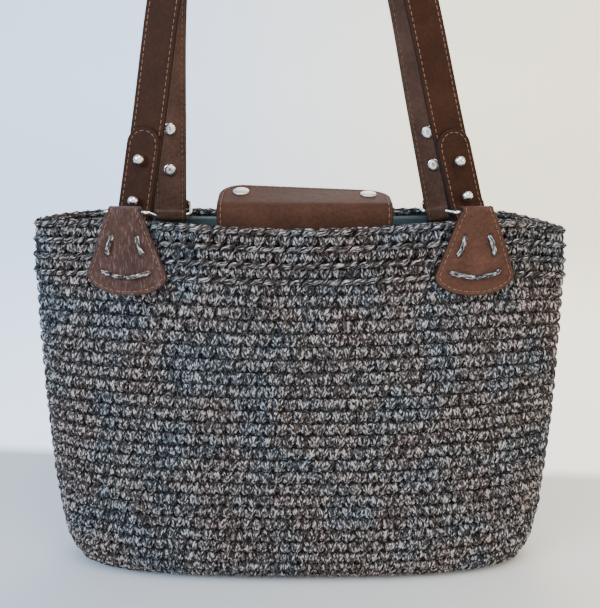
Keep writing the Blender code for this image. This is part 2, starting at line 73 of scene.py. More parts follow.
STUD_BACK, STUD_BACK_WALL, STUD_BELOW_TIP = 0.0095, 0.0016, 0.0238
TEXTILE_LIFT = 0.0003

# Height, half width, half depth (shares) and squareness of the body's sections
BODY_SECTIONS = np.array((
    (0.000, 0.880, 0.700, 2.72), (0.014, 0.902, 0.810, 2.70), (0.040, 0.925, 0.915, 2.66),
    (0.085, 0.953, 0.976, 2.60), (0.200, 0.976, 1.000, 2.55), (0.400, 0.994, 0.995, 2.50),
    (0.650, 1.000, 0.965, 2.50), (0.870, 0.998, 0.930, 2.45), (1.000, 0.982, 0.915, 2.45)))

# Name, side, end, place, ring tilt, lean in, lean back, low stud's height, distance to the high one
LEGS = (
    ("front_left", -1, -1, 0.6030, -15.0, 9.5, 6.0, 0.0104, 0.0292),
    ("front_right", -1, 1, 0.6090, -2.0, 14.0, 6.0, 0.0100, 0.0250),
    ("back_left", 1, -1, 0.5250, -34.0, 3.7, 11.0, 0.0370, 0.0315),
    ("back_right", 1, 1, 0.5730, -24.0, 13.4, 6.0, 0.0385, 0.0255),
)

# Rise, inset, depth and turn of the strap above its folded ends
STRAP_COURSE = (
    (0.480, 0.000, 0.80, 0.00), (0.830, 0.120, 1.00, 0.72), (0.965, 0.550, 1.00, 0.97))

# One leg of a V stitch from its foot to its crown: sideways place in stitches, height as a share
# of the round's, depth under the surface in metres, thickness as a share of the yarn's
LEG_COURSE = np.array((
    (0.000, 0.000, 0.0032, 0.62), (0.045, 0.090, 0.0010, 0.84), (0.118, 0.300, 0.0000, 1.06),
    (0.196, 0.540, 0.0000, 1.16), (0.262, 0.770, 0.0003, 1.12), (0.322, 0.940, 0.0020, 0.86),
    (0.500, 1.000, 0.0042, 0.55)))

# Share of the bag's height where the taller rounds of the braided band begin
BAND_START = 0.832

# Yarn: plies whose lobes show, streaks of colour round it, depth of a wall stitch and how far its
# surface lies under the CAD's, width of a stitch of the base, and rounds in one piece
PLIES, STREAKS_ROUND = 3, 9.0
STITCH_DEPTH, STITCH_LIFT, BASE_STITCH, ROWS_IN_PIECE = 0.0021, -0.0009, 0.0094, 7

# Wall under the stitches, dark as painted shade between them: depth under the CAD's surface on
# the wall and on the base, height of its ribs and of its waves; and its lip, as distance inwards
# and height over the rim
SHELL_DEPTH, SHELL_BASE_DEPTH, SHELL_RIB, SHELL_WAVE = 0.0030, 0.0024, 0.0008, 0.0003
SHELL_LIP = ((0.0034, -0.0005), (0.0045, 0.0004), (0.0058, -0.0005), (0.0068, -0.0022))

# Distance of each round of the base from the base's edge, and length of its stitches
BASE_ROUNDS, BASE_STITCH_LENGTH = (0.0010, 0.0105, 0.0200, 0.0290), 0.0098

# Leather: width of the painted edge, and thickness and length of a thread's stitch
PAINTED_EDGE, THREAD_RADIUS, THREAD_LENGTH = 0.0011, 0.00032, 0.0032

# Lacing holes of a tab: share of half its width, share of its height
LACE_HOLES = ((0.30, 0.325), (0.45, 0.540), (0.63, 0.725), (0.00, 0.795))

# Profile of a cap rivet: share of its head's radius, distance from the leather, and which face
# of the leather, 1 for the upper and -1 for the lower
RIVET_PROFILE = (
    (0.00, 0.0019, 1), (0.55, 0.0018, 1), (0.93, 0.0012, 1), (1.00, 0.0004, 1),
    (0.97, -0.0002, 1), (0.30, -0.0002, 1), (0.30, -0.0002, -1), (0.97, -0.0002, -1),
    (1.00, 0.0005, -1), (0.70, 0.0012, -1), (0.00, 0.0013, -1))

# Soft lights: name, place, width in metres, watts and colour
LIGHTS = (
    ("window_left", (-0.9, -0.75, 0.85), 0.7, 21.0, (0.56, 0.77, 1.0)),
    ("front_top", (0.15, -0.55, 1.25), 0.6, 9.0, (1.0, 0.97, 0.94)),
    ("warm_right", (1.0, -0.5, 0.6), 0.7, 5.5, (1.0, 0.86, 0.70)),
    ("front_low", (0.1, -1.1, 0.22), 0.7, 3.0, (1.0, 0.95, 0.91)),
    ("behind", (0.2, 1.0, 0.9), 0.8, 6.0, (1.0, 0.98, 0.95)))

# The floor's half width, and the distance, bend and height of the wall that it runs up to
FLOOR_HALF, WALL_DISTANCE, FLOOR_BEND, WALL_HEIGHT = 6.0, 1.9, 0.5, 5.0

UP = np.array((0.0, 0.0, 1.0))


# ---- shared shapes

def unit(v):
    """Vectors along the last axis, divided by their length."""
    return v / np.maximum(np.linalg.norm(v, axis=-1, keepdims=True), 1e-12)


def through_table(rows, share, column):
    """Cubic through a table's column: Hermite pieces whose slopes join each row's neighbours."""
    heights, values = rows[:, 0], rows[:, column]
    last = len(rows) - 1
    share = np.clip(share, heights[0], heights[-1])
    i = np.clip(np.searchsorted(heights, share, side="left") - 1, 0, last - 1)
    row = np.arange(last + 1)
    before, after = np.maximum(row - 1, 0), np.minimum(row + 1, last)
    slope = (values[after] - values[before]) / (heights[after] - heights[before])
    span = heights[i + 1] - heights[i]
    t = (share - heights[i]) / span
    return ((2 * t**3 - 3 * t**2 + 1) * values[i] + (t**3 - 2 * t**2 + t) * span * slope[i]
            + (3 * t**2 - 2 * t**3) * values[i + 1] + (t**3 - t**2) * span * slope[i + 1])


def rim_drop(across, side):
    """How far the rim lies low: cosine squared in the middle, a parabola at each end."""
    sag = np.where(side < 0, FRONT_SAG, BACK_SAG)
    drop = np.where(across < 0, LEFT_END_DROP, RIGHT_END_DROP)
    reach = np.abs(across)
    middle = sag * np.cos(0.5 * np.pi * np.minimum(reach, SAG_REACH) / SAG_REACH) ** 2
    return middle + drop * (np.maximum(reach - SAG_REACH, 0.0) / (1.0 - SAG_REACH)) ** 2


def rim_height(x, side):
    """Height of the rim's top at a place along the bag's width."""
    half_width = 0.5 * BAG_WIDTH * BODY_SECTIONS[-1, 1]
    return BAG_HEIGHT - rim_drop(np.clip(x / half_width, -1.0, 1.0), side)


def body_half_sizes(share):
    """Half width, half depth and squareness of the body at a share of its height."""
    return (0.5 * BAG_WIDTH * through_table(BODY_SECTIONS, share, 1),
            0.5 * BAG_DEPTH * through_table(BODY_SECTIONS, share, 2),
            through_table(BODY_SECTIONS, share, 3))


def body_depth(x, share, inset=0.0):
    """Superellipse depth of the body's side at x: b (1 - |x/a|^n)^(1/n)."""
    half_width, half_depth, squareness = body_half_sizes(share)
    across = np.minimum(1.0, np.abs(x) / (half_width - inset))
    return (half_depth - inset) * (1.0 - across**squareness) ** (1.0 / squareness)


class Shell:
    """The body's outside as a table over arc share and height share, read between its points.

    Below the wall the same table runs inwards over the flat base: share -d / BAG_HEIGHT is the
    section of the base moved in by d.
    """

    ARCS = 1176
    LOW = -0.135
    LEVELS = 161

    def __init__(self):
        shares = np.linspace(self.LOW, 1.0, self.LEVELS)[:, None]
        angle = np.linspace(0.0, 2.0 * np.pi, 2401)[None, :]
        wall = np.maximum(shares, 0.0)
        inset = np.maximum(-shares, 0.0) * BAG_HEIGHT
        half_width, half_depth, squareness = body_half_sizes(wall)
        power = 2.0 / squareness
        across = np.sign(np.cos(angle)) * np.abs(np.cos(angle)) ** power
        outward = np.sign(np.sin(angle)) * np.abs(np.sin(angle)) ** power
        raw = np.stack([across * (half_width - inset), outward * (half_depth - inset),
                        wall * BAG_HEIGHT - rim_drop(across, outward) * wall**2], -1)
        step = np.linalg.norm(np.diff(raw[..., :2], axis=1), axis=-1)
        arc = np.concatenate([np.zeros((self.LEVELS, 1)), np.cumsum(step, 1)], 1)
        self.round = arc[:, -1]
        wanted = np.arange(self.ARCS) / self.ARCS
        self.points = np.stack([
            np.stack([np.interp(wanted, a / a[-1], p[:, k]) for k in range(3)], -1)
            for a, p in zip(arc, raw)])
        along = np.roll(self.points, -1, 1) - np.roll(self.points, 1, 1)
        upward = np.gradient(self.points, axis=0)
        self.normals = unit(np.cross(along, upward))

    def read(self, table, arc, share):
        """Bilinear reading of a table at arc share and height share."""
        a = (arc % 1.0) * self.ARCS
        a0 = np.floor(a).astype(int)
        fa = (a - a0)[..., None]
        a0, a1 = a0 % self.ARCS, (a0 + 1) % self.ARCS
        b = np.clip((share - self.LOW) / (1.0 - self.LOW), 0.0, 1.0) * (self.LEVELS - 1)
        b0 = np.minimum(np.floor(b).astype(int), self.LEVELS - 2)
        fb = (b - b0)[..., None]
        low = table[b0, a0] * (1 - fa) + table[b0, a1] * fa
        high = table[b0 + 1, a0] * (1 - fa) + table[b0 + 1, a1] * fa
        return low * (1 - fb) + high * fb

    def place(self, arc, share, lift):
        """The point at arc share and height share, moved out by lift; above the rim it rises."""
        above = np.maximum(share - 1.0, 0.0) * BAG_HEIGHT
        normal = unit(self.read(self.normals, arc, share))
        return (self.read(self.points, arc, share) + normal * lift[..., None]
                + UP * above[..., None])

    def normal(self, arc, share):
        """The outward direction at arc share and height share."""
        return unit(self.read(self.normals, arc, share))


SHELL = Shell()


# ---- shared mesh making

def grid_quads(rows, cols, close_rows=False, close_cols=False):
    """Corner numbers of the faces between the points of a grid, as an array of fours."""
    r = np.arange(rows if close_rows else rows - 1)
    c = np.arange(cols if close_cols else cols - 1)
    r, c = np.meshgrid(r, c, indexing="ij")
    r1, c1 = (r + 1) % rows, (c + 1) % cols
    return np.stack([r * cols + c, r * cols + c1, r1 * cols + c1, r1 * cols + c], -1).reshape(-1, 4)


def repeat_quads(quads, copies, points):
    """The same faces for many copies that follow each other in the point list."""
    return (quads[None] + np.arange(copies)[:, None, None] * points).reshape(-1, 4)


def add_mesh(name, points, quads, material, uv=None, marks=None, weld=False):
    """A mesh object at the origin from arrays: faces turned outwards by the sign of its volume.

    uv is one pair for each point and marks are named numbers, one for each point.
    """
    points = np.ascontiguousarray(points.reshape(-1, 3), dtype=np.float64)
    a, b, c, d = (points[quads[:, k]] for k in range(4))
    volume = (np.einsum("ij,ij->i", a, np.cross(b, c)) + np.einsum("ij,ij->i", a, np.cross(c, d)))
    if volume.sum() < 0.0:
        quads = quads[:, ::-1]
    mesh = bpy.data.meshes.new(name)
    mesh.vertices.add(len(points))
    mesh.vertices.foreach_set("co", points.astype(np.float32).ravel())
    mesh.loops.add(quads.size)
    mesh.loops.foreach_set("vertex_index", quads.astype(np.int32).ravel())
    mesh.polygons.add(len(quads))
    mesh.polygons.foreach_set("loop_start", np.arange(0, quads.size, 4, dtype=np.int32))
    mesh.polygons.foreach_set("use_smooth", np.ones(len(quads), dtype=bool))
    if uv is not None:
        layer = mesh.uv_layers.new(name="UVMap")
        layer.uv.foreach_set("vector", uv.reshape(-1, 2)[quads.ravel()].astype(np.float32).ravel())
    for label, values in (marks or {}).items():
        mark = mesh.attributes.new(label, "FLOAT", "POINT")
        mark.data.foreach_set("value", np.asarray(values, dtype=np.float32).ravel())
    mesh.update(calc_edges=True)
    if weld:
        whole = bmesh.new()
        whole.from_mesh(mesh)
        bmesh.ops.remove_doubles(whole, verts=whole.verts, dist=2e-6)
        bmesh.ops.dissolve_degenerate(whole, edges=whole.edges, dist=1e-7)
        whole.to_mesh(mesh)
        whole.free()
    mesh.materials.append(material)
    thing = bpy.data.objects.new(name, mesh)
    bpy.context.scene.collection.objects.link(thing)
    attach(thing, "root")
    return thing


def sweep(path, outward, profile, closed=False):
    """Carry profiles along paths: path + side * profile_x + outward * profile_y.

    path and outward are (copies, stations, 3); profile is (copies or 1, stations or 1, sides, 2).
    side is the path's direction crossed with outward. The result is (copies, stations, sides, 3).
    """
    if closed:
        along = unit(np.roll(path, -1, 1) - np.roll(path, 1, 1))
    else:
        along = unit(np.gradient(path, axis=1))
    side = unit(np.cross(along, outward))
    lift = np.cross(side, along)
    return (path[:, :, None] + side[:, :, None] * profile[..., 0:1]
            + lift[:, :, None] * profile[..., 1:2])


def tube_uv(path, sides, start, closed=False):
    """U runs along each path in centimetres from its own start, V once round the profile."""
    if closed:
        step = np.linalg.norm(path - np.roll(path, 1, 1), axis=-1)
        step[:, 0] = 0.0
    else:
        step = np.linalg.norm(np.diff(path, axis=1, prepend=path[:, :1]), axis=-1)
    along = np.cumsum(step, 1) * 100.0 + np.asarray(start)[:, None]
    round_ = np.linspace(0.0, 1.0, sides)
    return np.stack(np.broadcast_arrays(along[..., None], round_), -1)


def ply_profile(width, depth, groove=0.40, reach=105.0, back=0.55):
    """A yarn's section: round lobes side by side on its outer side, one for each ply.

    Points alternate between valley and crest on an arc of -reach to reach degrees; valleys lie
    nearer the middle by the groove's share. One point closes the back.
    """
    count = 2 * PLIES + 1
    angle = np.radians(np.linspace(-reach, reach, count))
    radius = np.where(np.arange(count) % 2 == 0, 1.0 - groove, 1.0)
    radius[0] = radius[-1] = 0.94
    front = np.stack([width * radius * np.sin(angle), depth * radius * np.cos(angle)], -1)
    rear = np.array(((0.0, -back * depth),))
    return np.concatenate([front, rear])


def open_yarns(path, outward, profile, start):
    """Separate lengths of yarn with closed ends: their points, map and faces."""
    copies, stations = path.shape[:2]
    sides = profile.shape[2]
    points = sweep(path, outward, profile)
    faces = [repeat_quads(grid_quads(stations, sides, close_cols=True), copies, stations * sides)]
    first = np.arange(copies)[:, None] * stations * sides + np.arange(sides)
    for ring, order in ((first, 1), (first + (stations - 1) * sides, -1)):
        for k in range(1, sides - 2, 2):
            faces.append(ring[:, (0, k + 2, k + 1, k)][:, ::order])
    return points, tube_uv(path, sides, start), np.concatenate(faces)


def turned(profile, facets, place, axis):
    """Turn a profile of (radius, height) round an axis; the first and last radius are zero."""
    axis = unit(np.asarray(axis, float))
    first = unit(np.cross(axis, (0.31, 0.82, 0.47)))
    second = np.cross(axis, first)
    angle = np.arange(facets) * 2.0 * np.pi / facets
    ray = np.cos(angle)[:, None] * first + np.sin(angle)[:, None] * second
    profile = np.asarray(profile, float)
    return (np.asarray(place) + profile[:, None, 0:1] * ray[None]
            + profile[:, None, 1:2] * axis)


def soft_profile(points, rounds=3):
    """Round the corners of a turned profile: each round cuts every corner at its quarters."""
    line = np.asarray(points, float)
    for _ in range(rounds):
        near, far = line[:-1], line[1:]
        cut = np.stack([0.75 * near + 0.25 * far, 0.25 * near + 0.75 * far], 1).reshape(-1, 2)
        line = np.concatenate([line[:1], cut[1:-1], line[-1:]])
    return line


# ---- materials

class Paint:
    """A Principled material, with short calls for the nodes that the bag needs."""

    def __init__(self, name):
        self.material = bpy.data.materials.new(name)
        self.material.use_nodes = True
        self.tree = self.material.node_tree
        self.shader = self.tree.nodes["Principled BSDF"]

    def node(self, kind, **settings):
        """A new node with its settings."""
        node = self.tree.nodes.new("ShaderNode" + kind)
        for key, value in settings.items():
            setattr(node, key, value)
        return node

    def feed(self, socket, value):
        """Give a socket a number, a colour, a vector or another node's output."""
        if isinstance(value, bpy.types.NodeSocket):
            self.tree.links.new(value, socket)
        elif isinstance(value, (int, float)):
            socket.default_value = value
        elif len(socket.default_value) == 4:
            socket.default_value = (*value, 1.0)
        else:
            socket.default_value = tuple(value)

    def fill(self, kind, output, values, **settings):
        """One output of a new node whose sockets are fed by name or number."""
        node = self.node(kind, **settings)
        for key, value in values.items():
            if value is not None:
                self.feed(node.inputs[key], value)
        return node.outputs[output]

    def surface(self, **values):
        """Feed the shader's own sockets, their names written with underscores."""
        for key, value in values.items():
            self.feed(self.shader.inputs[key.replace("_", " ")], value)

    def math(self, operation, first, second=None, clamp=False):
        """A Math node."""
        return self.fill("Math", 0, {0: first, 1: second}, operation=operation, use_clamp=clamp)

    def times(self, first, second):
        """Product of two values."""
        return self.math("MULTIPLY", first, second)

    def plus(self, first, second, clamp=False):
        """Sum of two values."""
        return self.math("ADD", first, second, clamp)

    def above(self, value, start, slope):
        """Slope times what a value has over its start, kept from 0 to 1."""
        return self.math("MULTIPLY", self.math("SUBTRACT", value, start), slope, clamp=True)

    def noise(self, vector, scale, detail=2.0, rough=0.5):
        """A Noise Texture's value."""
        return self.fill("TexNoise", 0, {"Scale": scale, "Detail": detail, "Roughness": rough,
                                         "Vector": vector})

    def ramp(self, value, *stops):
        """A Color Ramp over (position, colour) stops."""
        node = self.node("ValToRGB")
        elements = node.color_ramp.elements
        while len(elements) < len(stops):
            elements.new(0.5)
        for element, (position, colour) in zip(elements, stops):
            element.position = position
            element.color = (*colour, 1.0)
        self.feed(node.inputs[0], value)
        return node.outputs[0]

    def mix(self, factor, first, second, kind="MIX"):
        """A Mix node for colours."""
        return self.fill("Mix", 2, {0: factor, 6: first, 7: second}, data_type="RGBA",
                         blend_type=kind)

    def bump(self, height, distance, strength=1.0, below=None):
        """A Bump node; below is the normal that it adds to."""
        return self.fill("Bump", 0, {"Distance": distance, "Strength": strength,
                                     "Height": height, "Normal": below})

    def vector(self, x, y, z):
        """A Combine XYZ node."""
        return self.fill("CombineXYZ", 0, {0: x, 1: y, 2: z})

    def split(self, vector):
        """The outputs of a Separate XYZ node."""
        node = self.node("SeparateXYZ")
        self.feed(node.inputs[0], vector)
        return node.outputs

    def coordinates(self, kind):
        """One output of the Texture Coordinate node."""
        return self.node("TexCoord").outputs[kind]

    def mark(self, name):
        """A named number of the mesh."""
        return self.node("Attribute", attribute_name=name).outputs["Fac"]


def scaled(colour, share):
    """A colour times a share."""
    return tuple(share * value for value in colour)


def yarn_material(name, look, painted_brightness=1.0, streak=3.3):
    """Melange yarn: each ply changes between black, grey, white and a few coloured fibres.

    Streak is the number of colour changes in a centimetre of the yarn. Painted shade darkens the
    grooves between the plies and the yarn where it sinks, and a given brightness scales the
    whole colour as painted light and shade for each piece.
    """
    paint = Paint(name)
    along, round_ = paint.split(paint.coordinates("UV"))[:2]
    twisted = paint.plus(paint.times(round_, STREAKS_ROUND), paint.times(along, look.ply_twist))
    ply = paint.math("FLOOR", twisted)
    shade_noise = paint.noise(
        paint.vector(paint.times(along, streak), paint.times(ply, 5.37), 0.0), 1.0, 1.0, 0.6)
    fibre = paint.noise(
        paint.vector(paint.times(along, 5.0), paint.times(twisted, 4.0), 3.1), 1.0, 2.0, 0.6)
    tone = paint.plus(paint.times(shade_noise, 0.66), paint.times(fibre, 0.34))
    colour = paint.ramp(tone, (0.0, look.dark), (0.43, look.dark), (0.485, look.grey),
                        (0.52, look.grey), (0.585, look.light), (1.0, look.light))
    tint = paint.noise(paint.vector(paint.times(along, 3.1), paint.times(ply, 9.1), 7.7), 1.0, 1.0)
    colour = paint.mix(paint.times(paint.above(tint, 0.60, 9.0), 0.60), colour, look.brown)
    colour = paint.mix(paint.times(paint.above(tint, 0.37, -9.0), 0.60), colour, look.teal)
    # Painted shade: the grooves between the plies are mixed towards the dark ply colour.
    valley = paint.math("ABSOLUTE", paint.math("SUBTRACT", paint.math("FRACT", twisted), 0.5))
    colour = paint.mix(paint.times(paint.above(valley, 0.30, 5.0), 0.80), colour, look.dark)
    batch = paint.ramp(paint.noise(paint.coordinates("Object"), 26.0), (0.36, look.cool_batch),
                       (0.50, (0.96, 0.94, 0.93)), (0.64, look.warm_batch))
    colour = paint.mix(1.0, colour, batch, "MULTIPLY")
    # Painted shade: the yarn is darkened by the mark of how deep it sinks under the surface.
    colour = paint.mix(paint.times(paint.mark("depth_shade"), 0.92), colour, scaled(look.dark, 0.5))
    # Painted light and shade: the whole colour is scaled by the piece's given brightness.
    colour = paint.mix(1.0, colour, (painted_brightness, painted_brightness, painted_brightness), "MULTIPLY")
    rounded = paint.math("SUBTRACT", 1.0, paint.math("POWER", paint.times(valley, 2.0), 2.0))
    height = paint.plus(rounded, paint.times(fibre, 0.8))
    paint.surface(Base_Color=colour, Roughness=0.9, Specular_IOR_Level=0.15,
                  Normal=paint.bump(height, 0.0005))
    return paint.material


def leather_material(name, colour, dark_edge, roughness=0.60, sheen=0.0, stretch=(1.0, 1.0, 1.0),
                     crease=0.0006, painted_crease_sheen=None):
    """Leather: pebbled grain, cloudy tone, creases with a painted sheen on their tops, painted
    shade in the lacing holes, and a dark painted edge.

    Stretch gives the creases their direction: a small number draws them out along that axis.
    Crease is their depth, and the colour given for their tops is a painted sheen on them.
    """
    paint = Paint(name)
    place = paint.coordinates("Object")
    cloud, mottle = paint.noise(place, 38.0, 4.0, 0.6), paint.noise(place, 420.0, 2.0, 0.6)
    low, high = scaled(colour, 0.58), scaled(colour, 1.45)
    base = paint.ramp(cloud, (0.30, low), (0.52, colour), (0.74, high))
    base = paint.mix(0.35, base, paint.ramp(mottle, (0.35, low), (0.65, high)))
    drawn = paint.fill("VectorMath", 0, {0: place, 1: stretch}, operation="MULTIPLY")
    creases = paint.noise(drawn, 190.0, 4.0, 0.62)
    # Painted sheen: a pale colour is mixed onto the tops of the creases.
    if painted_crease_sheen is not None:
        base = paint.mix(paint.times(paint.above(creases, 0.52, 6.0), 0.34), base, painted_crease_sheen)
    # Painted shade: each lacing hole is darkened towards the edge colour, the shade in the hole
    # together with its dark cut edge.
    base = paint.mix(paint.above(paint.mark("hole_edge_and_shade"), 0.0, 0.92), base, dark_edge)
    painted = paint.above(paint.mark("edge"), PAINTED_EDGE, -1.0 / PAINTED_EDGE)
    base = paint.mix(paint.times(painted, 0.9), base, dark_edge)
    pebble = paint.fill("TexVoronoi", "Distance", {"Scale": 950.0, "Vector": place})
    grain = paint.bump(pebble, 0.00012, 0.55)
    paint.surface(Base_Color=base, Roughness=paint.plus(paint.times(cloud, 0.22), roughness - 0.11),
                  Specular_IOR_Level=0.07, Sheen_Weight=sheen, Sheen_Tint=(0.80, 0.72, 0.95),
                  Normal=paint.bump(creases, crease, 0.6, grain))
    return paint.material


def thread_material(name, colour):
    """Waxed sewing thread, lighter and darker along its length."""
    paint = Paint(name)
    tone = paint.noise(paint.coordinates("Object"), 700.0)
    paint.surface(Base_Color=paint.ramp(tone, (0.35, scaled(colour, 0.6)), (0.62, colour)),
                  Roughness=0.6)
    return paint.material


def metal_material(name, colour, roughness):
    """Polished metal with faint handling marks in its gloss."""
    paint = Paint(name)
    marks = paint.noise(paint.coordinates("Object"), 600.0, 3.0, 0.6)
    paint.surface(Base_Color=paint.ramp(marks, (0.3, scaled(colour, 0.86)), (0.7, colour)),
                  Metallic=1.0, Roughness=paint.plus(paint.times(marks, 0.14), roughness - 0.05))
    return paint.material


def satin_material(name, colour):
    """Satin: fine twill lines and soft sheen."""
    paint = Paint(name)
    place = paint.coordinates("Object")
    tone = paint.noise(place, 60.0, 3.0, 0.55)
    wave = paint.fill("TexWave", "Fac", {"Scale": 420.0, "Vector": place},
                      bands_direction="DIAGONAL")
    folds = paint.noise(place, 45.0, 3.0)
    paint.surface(Base_Color=paint.ramp(tone, (0.3, scaled(colour, 0.7)),
                                        (0.7, scaled(colour, 1.25))),
                  Roughness=0.38, Sheen_Weight=0.4,
                  Normal=paint.bump(folds, 0.002, 0.4, paint.bump(wave, 0.00008, 0.5)))
    return paint.material


# ---- leather panels

def panel_outline(stations, half_width):
    """Outline of a flat panel, up its right side and down its left, as (across, along) points."""
    right = np.stack([half_width, stations], -1)
    left = np.stack([-half_width[::-1], stations[::-1]], -1)
    return np.concatenate([right, left])


def edge_distance(across, along, outline):
    """Distance of each point from the nearest side of an outline."""
    shape = across.shape
    p = np.stack([across.ravel(), along.ravel()], -1)[:, None]
    a, b = outline[None], np.roll(outline, -1, 0)[None]
    best = np.full(len(p), 1e9)
    for start in range(0, len(p), 4000):
        q = p[start:start + 4000]
        ab = b - a
        t = np.clip(((q - a) * ab).sum(-1) / np.maximum((ab**2).sum(-1), 1e-18), 0.0, 1.0)
        best[start:start + 4000] = np.sqrt((((a + ab * t[..., None]) - q) ** 2).sum(-1)).min(1)
    return best.reshape(shape)


EDGE_STEPS = np.array((0.0, 0.00008, 0.00030, 0.0007, 0.0013, 0.0021, 0.0026, 0.0030, 0.0034,
                       0.0040, 0.0052))


def leather_panel(name, stations, half_width, lay, wall, material, seam, middle, dents=()):
    """A leather panel with rounded edges: two grids, one for each face, that meet at the edge.

    Half the thickness at distance d from the edge is a quarter circle of radius r, then flat:
    wall/2 * sqrt(1 - (1 - min(d/r, 1))^2). A groove follows the seam, and each dent is a bell.
    Middle is the number of columns between the two edges' own.
    """
    full = np.maximum(half_width, 1e-9)[:, None]
    side = full - EDGE_STEPS * np.minimum(1.0, full / (1.6 * EDGE_STEPS[-1]))
    inner = side[:, -1:]
    spread = np.linspace(1.0, -1.0, middle + 2)[None, 1:-1]
    across = np.concatenate([side, inner * spread, -side[:, ::-1]], 1)
    across = np.where(half_width[:, None] < 1e-8, 0.0, across)
    along = np.broadcast_to(stations[:, None], across.shape)
    edge = edge_distance(across, along, panel_outline(stations, half_width))
    radius = 0.42 * wall
    rise = 0.5 * wall * np.sqrt(np.maximum(0.0, 1.0 - (1.0 - np.minimum(edge / radius, 1.0)) ** 2))
    groove = 0.00028 * np.exp(-((edge - seam) / 0.00055) ** 2)
    puff = 0.00012 * np.exp(-((edge - 0.5 * seam) / 0.0009) ** 2)
    # Each dent's bell also marks its lacing hole for painted shade and its dark cut edge.
    pressed, hole_edge_and_shade = np.zeros_like(edge), np.zeros_like(edge)
    for x, s, reach, depth in dents:
        bell = np.exp(-((across - x) ** 2 + (along - s) ** 2) / reach**2)
        pressed += depth * bell
        hole_edge_and_shade += bell
    lift_top = np.where(edge > 0.00005, rise - groove + puff - pressed, rise)
    lift_low = np.where(edge > 0.00005, -rise + 0.6 * groove, -rise)
    top = lay(across, along, lift_top)
    low = lay(across, along, lift_low)
    rows, cols = across.shape
    quads = grid_quads(rows, cols)
    quads = np.concatenate([quads, quads[:, ::-1] + rows * cols])
    points = np.concatenate([top.reshape(-1, 3), low.reshape(-1, 3)])
    flat = np.stack([across, along], -1).reshape(-1, 2) * 10.0
    return add_mesh(name, points, quads, material, uv=np.concatenate([flat, flat]),
                    marks={"edge": np.tile(edge.ravel(), 2), "hole_edge_and_shade": np.tile(hole_edge_and_shade.ravel(), 2)},
                    weld=True)


def seam_line(outline, inset, closed=True):
    """The outline moved inwards by inset, along its own normal."""
    if closed:
        along = np.roll(outline, -1, 0) - np.roll(outline, 1, 0)
    else:
        along = np.gradient(outline, axis=0)
    along = along / np.maximum(np.linalg.norm(along, axis=-1, keepdims=True), 1e-12)
    return outline + inset * np.stack([-along[:, 1], along[:, 0]], -1)


def thread_arrays(line, lay, lift, pitch):
    """Start, end and outward direction of each stitch along a seam, on one face of a panel."""
    step = np.linalg.norm(np.diff(line, axis=0), axis=-1)
    arc = np.concatenate([[0.0], np.cumsum(step)])
    count = max(2, int(arc[-1] / pitch))
    start = np.linspace(0.3 * pitch, arc[-1] - pitch, count)
    ends = []
    for at in (start, start + THREAD_LENGTH * arc[-1] / (count * pitch)):
        ends.append(np.stack([np.interp(at, arc, line[:, k]) for k in range(2)], -1))
    (ax, ay), (bx, by) = ends[0].T, ends[1].T
    level = np.full(len(ax), lift)
    a, b = lay(ax, ay, level), lay(bx, by, level)
    out = unit(lay(ax, ay, level + 0.001) - a)
    return a, b, out


def thread_mesh(name, groups, material):
    """All stitches of a seam as short round arcs whose ends dip into the leather."""
    a = np.concatenate([g[0] for g in groups])
    b = np.concatenate([g[1] for g in groups])
    out = np.concatenate([g[2] for g in groups])
    t = np.array((0.0, 0.08, 0.3, 0.7, 0.92, 1.0))
    bow = np.array((-0.00035, -0.00002, 0.00016, 0.00016, -0.00002, -0.00035))
    size = np.array((0.0, 0.8, 1.0, 1.0, 0.8, 0.0))
    path = a[:, None] + (b - a)[:, None] * t[:, None] + out[:, None] * bow[:, None]
    sides = 5
    angle = np.arange(sides) * 2.0 * np.pi / sides
    ring = np.stack([np.cos(angle), np.sin(angle)], -1) * THREAD_RADIUS
    profile = size[None, :, None, None] * ring[None, None]
    points = sweep(path, np.broadcast_to(out[:, None], path.shape), profile)
    quads = repeat_quads(grid_quads(len(t), sides, close_cols=True), len(a), len(t) * sides)
    return add_mesh(name, points, quads, material, weld=True)


# ---- where the leather stands

def curve_through(points, start_way, end_way, steps):
    """Space curve through points: Hermite pieces with their neighbours' directions."""
    points = np.asarray(points)
    ways = np.concatenate([[start_way], unit(points[2:] - points[:-2]), [end_way]])
    t = (np.arange(steps) / steps)[None, :, None]
    start, end = points[:-1, None], points[1:, None]
    reach = np.linalg.norm(end - start, axis=-1, keepdims=True)
    line = (start * (2 * t**3 - 3 * t**2 + 1) + ways[:-1, None] * reach * (t**3 - 2 * t**2 + t)
            + end * (3 * t**2 - 2 * t**3) + ways[1:, None] * reach * (t**3 - t**2))
    return np.concatenate([line.reshape(-1, 3), points[-1:]])


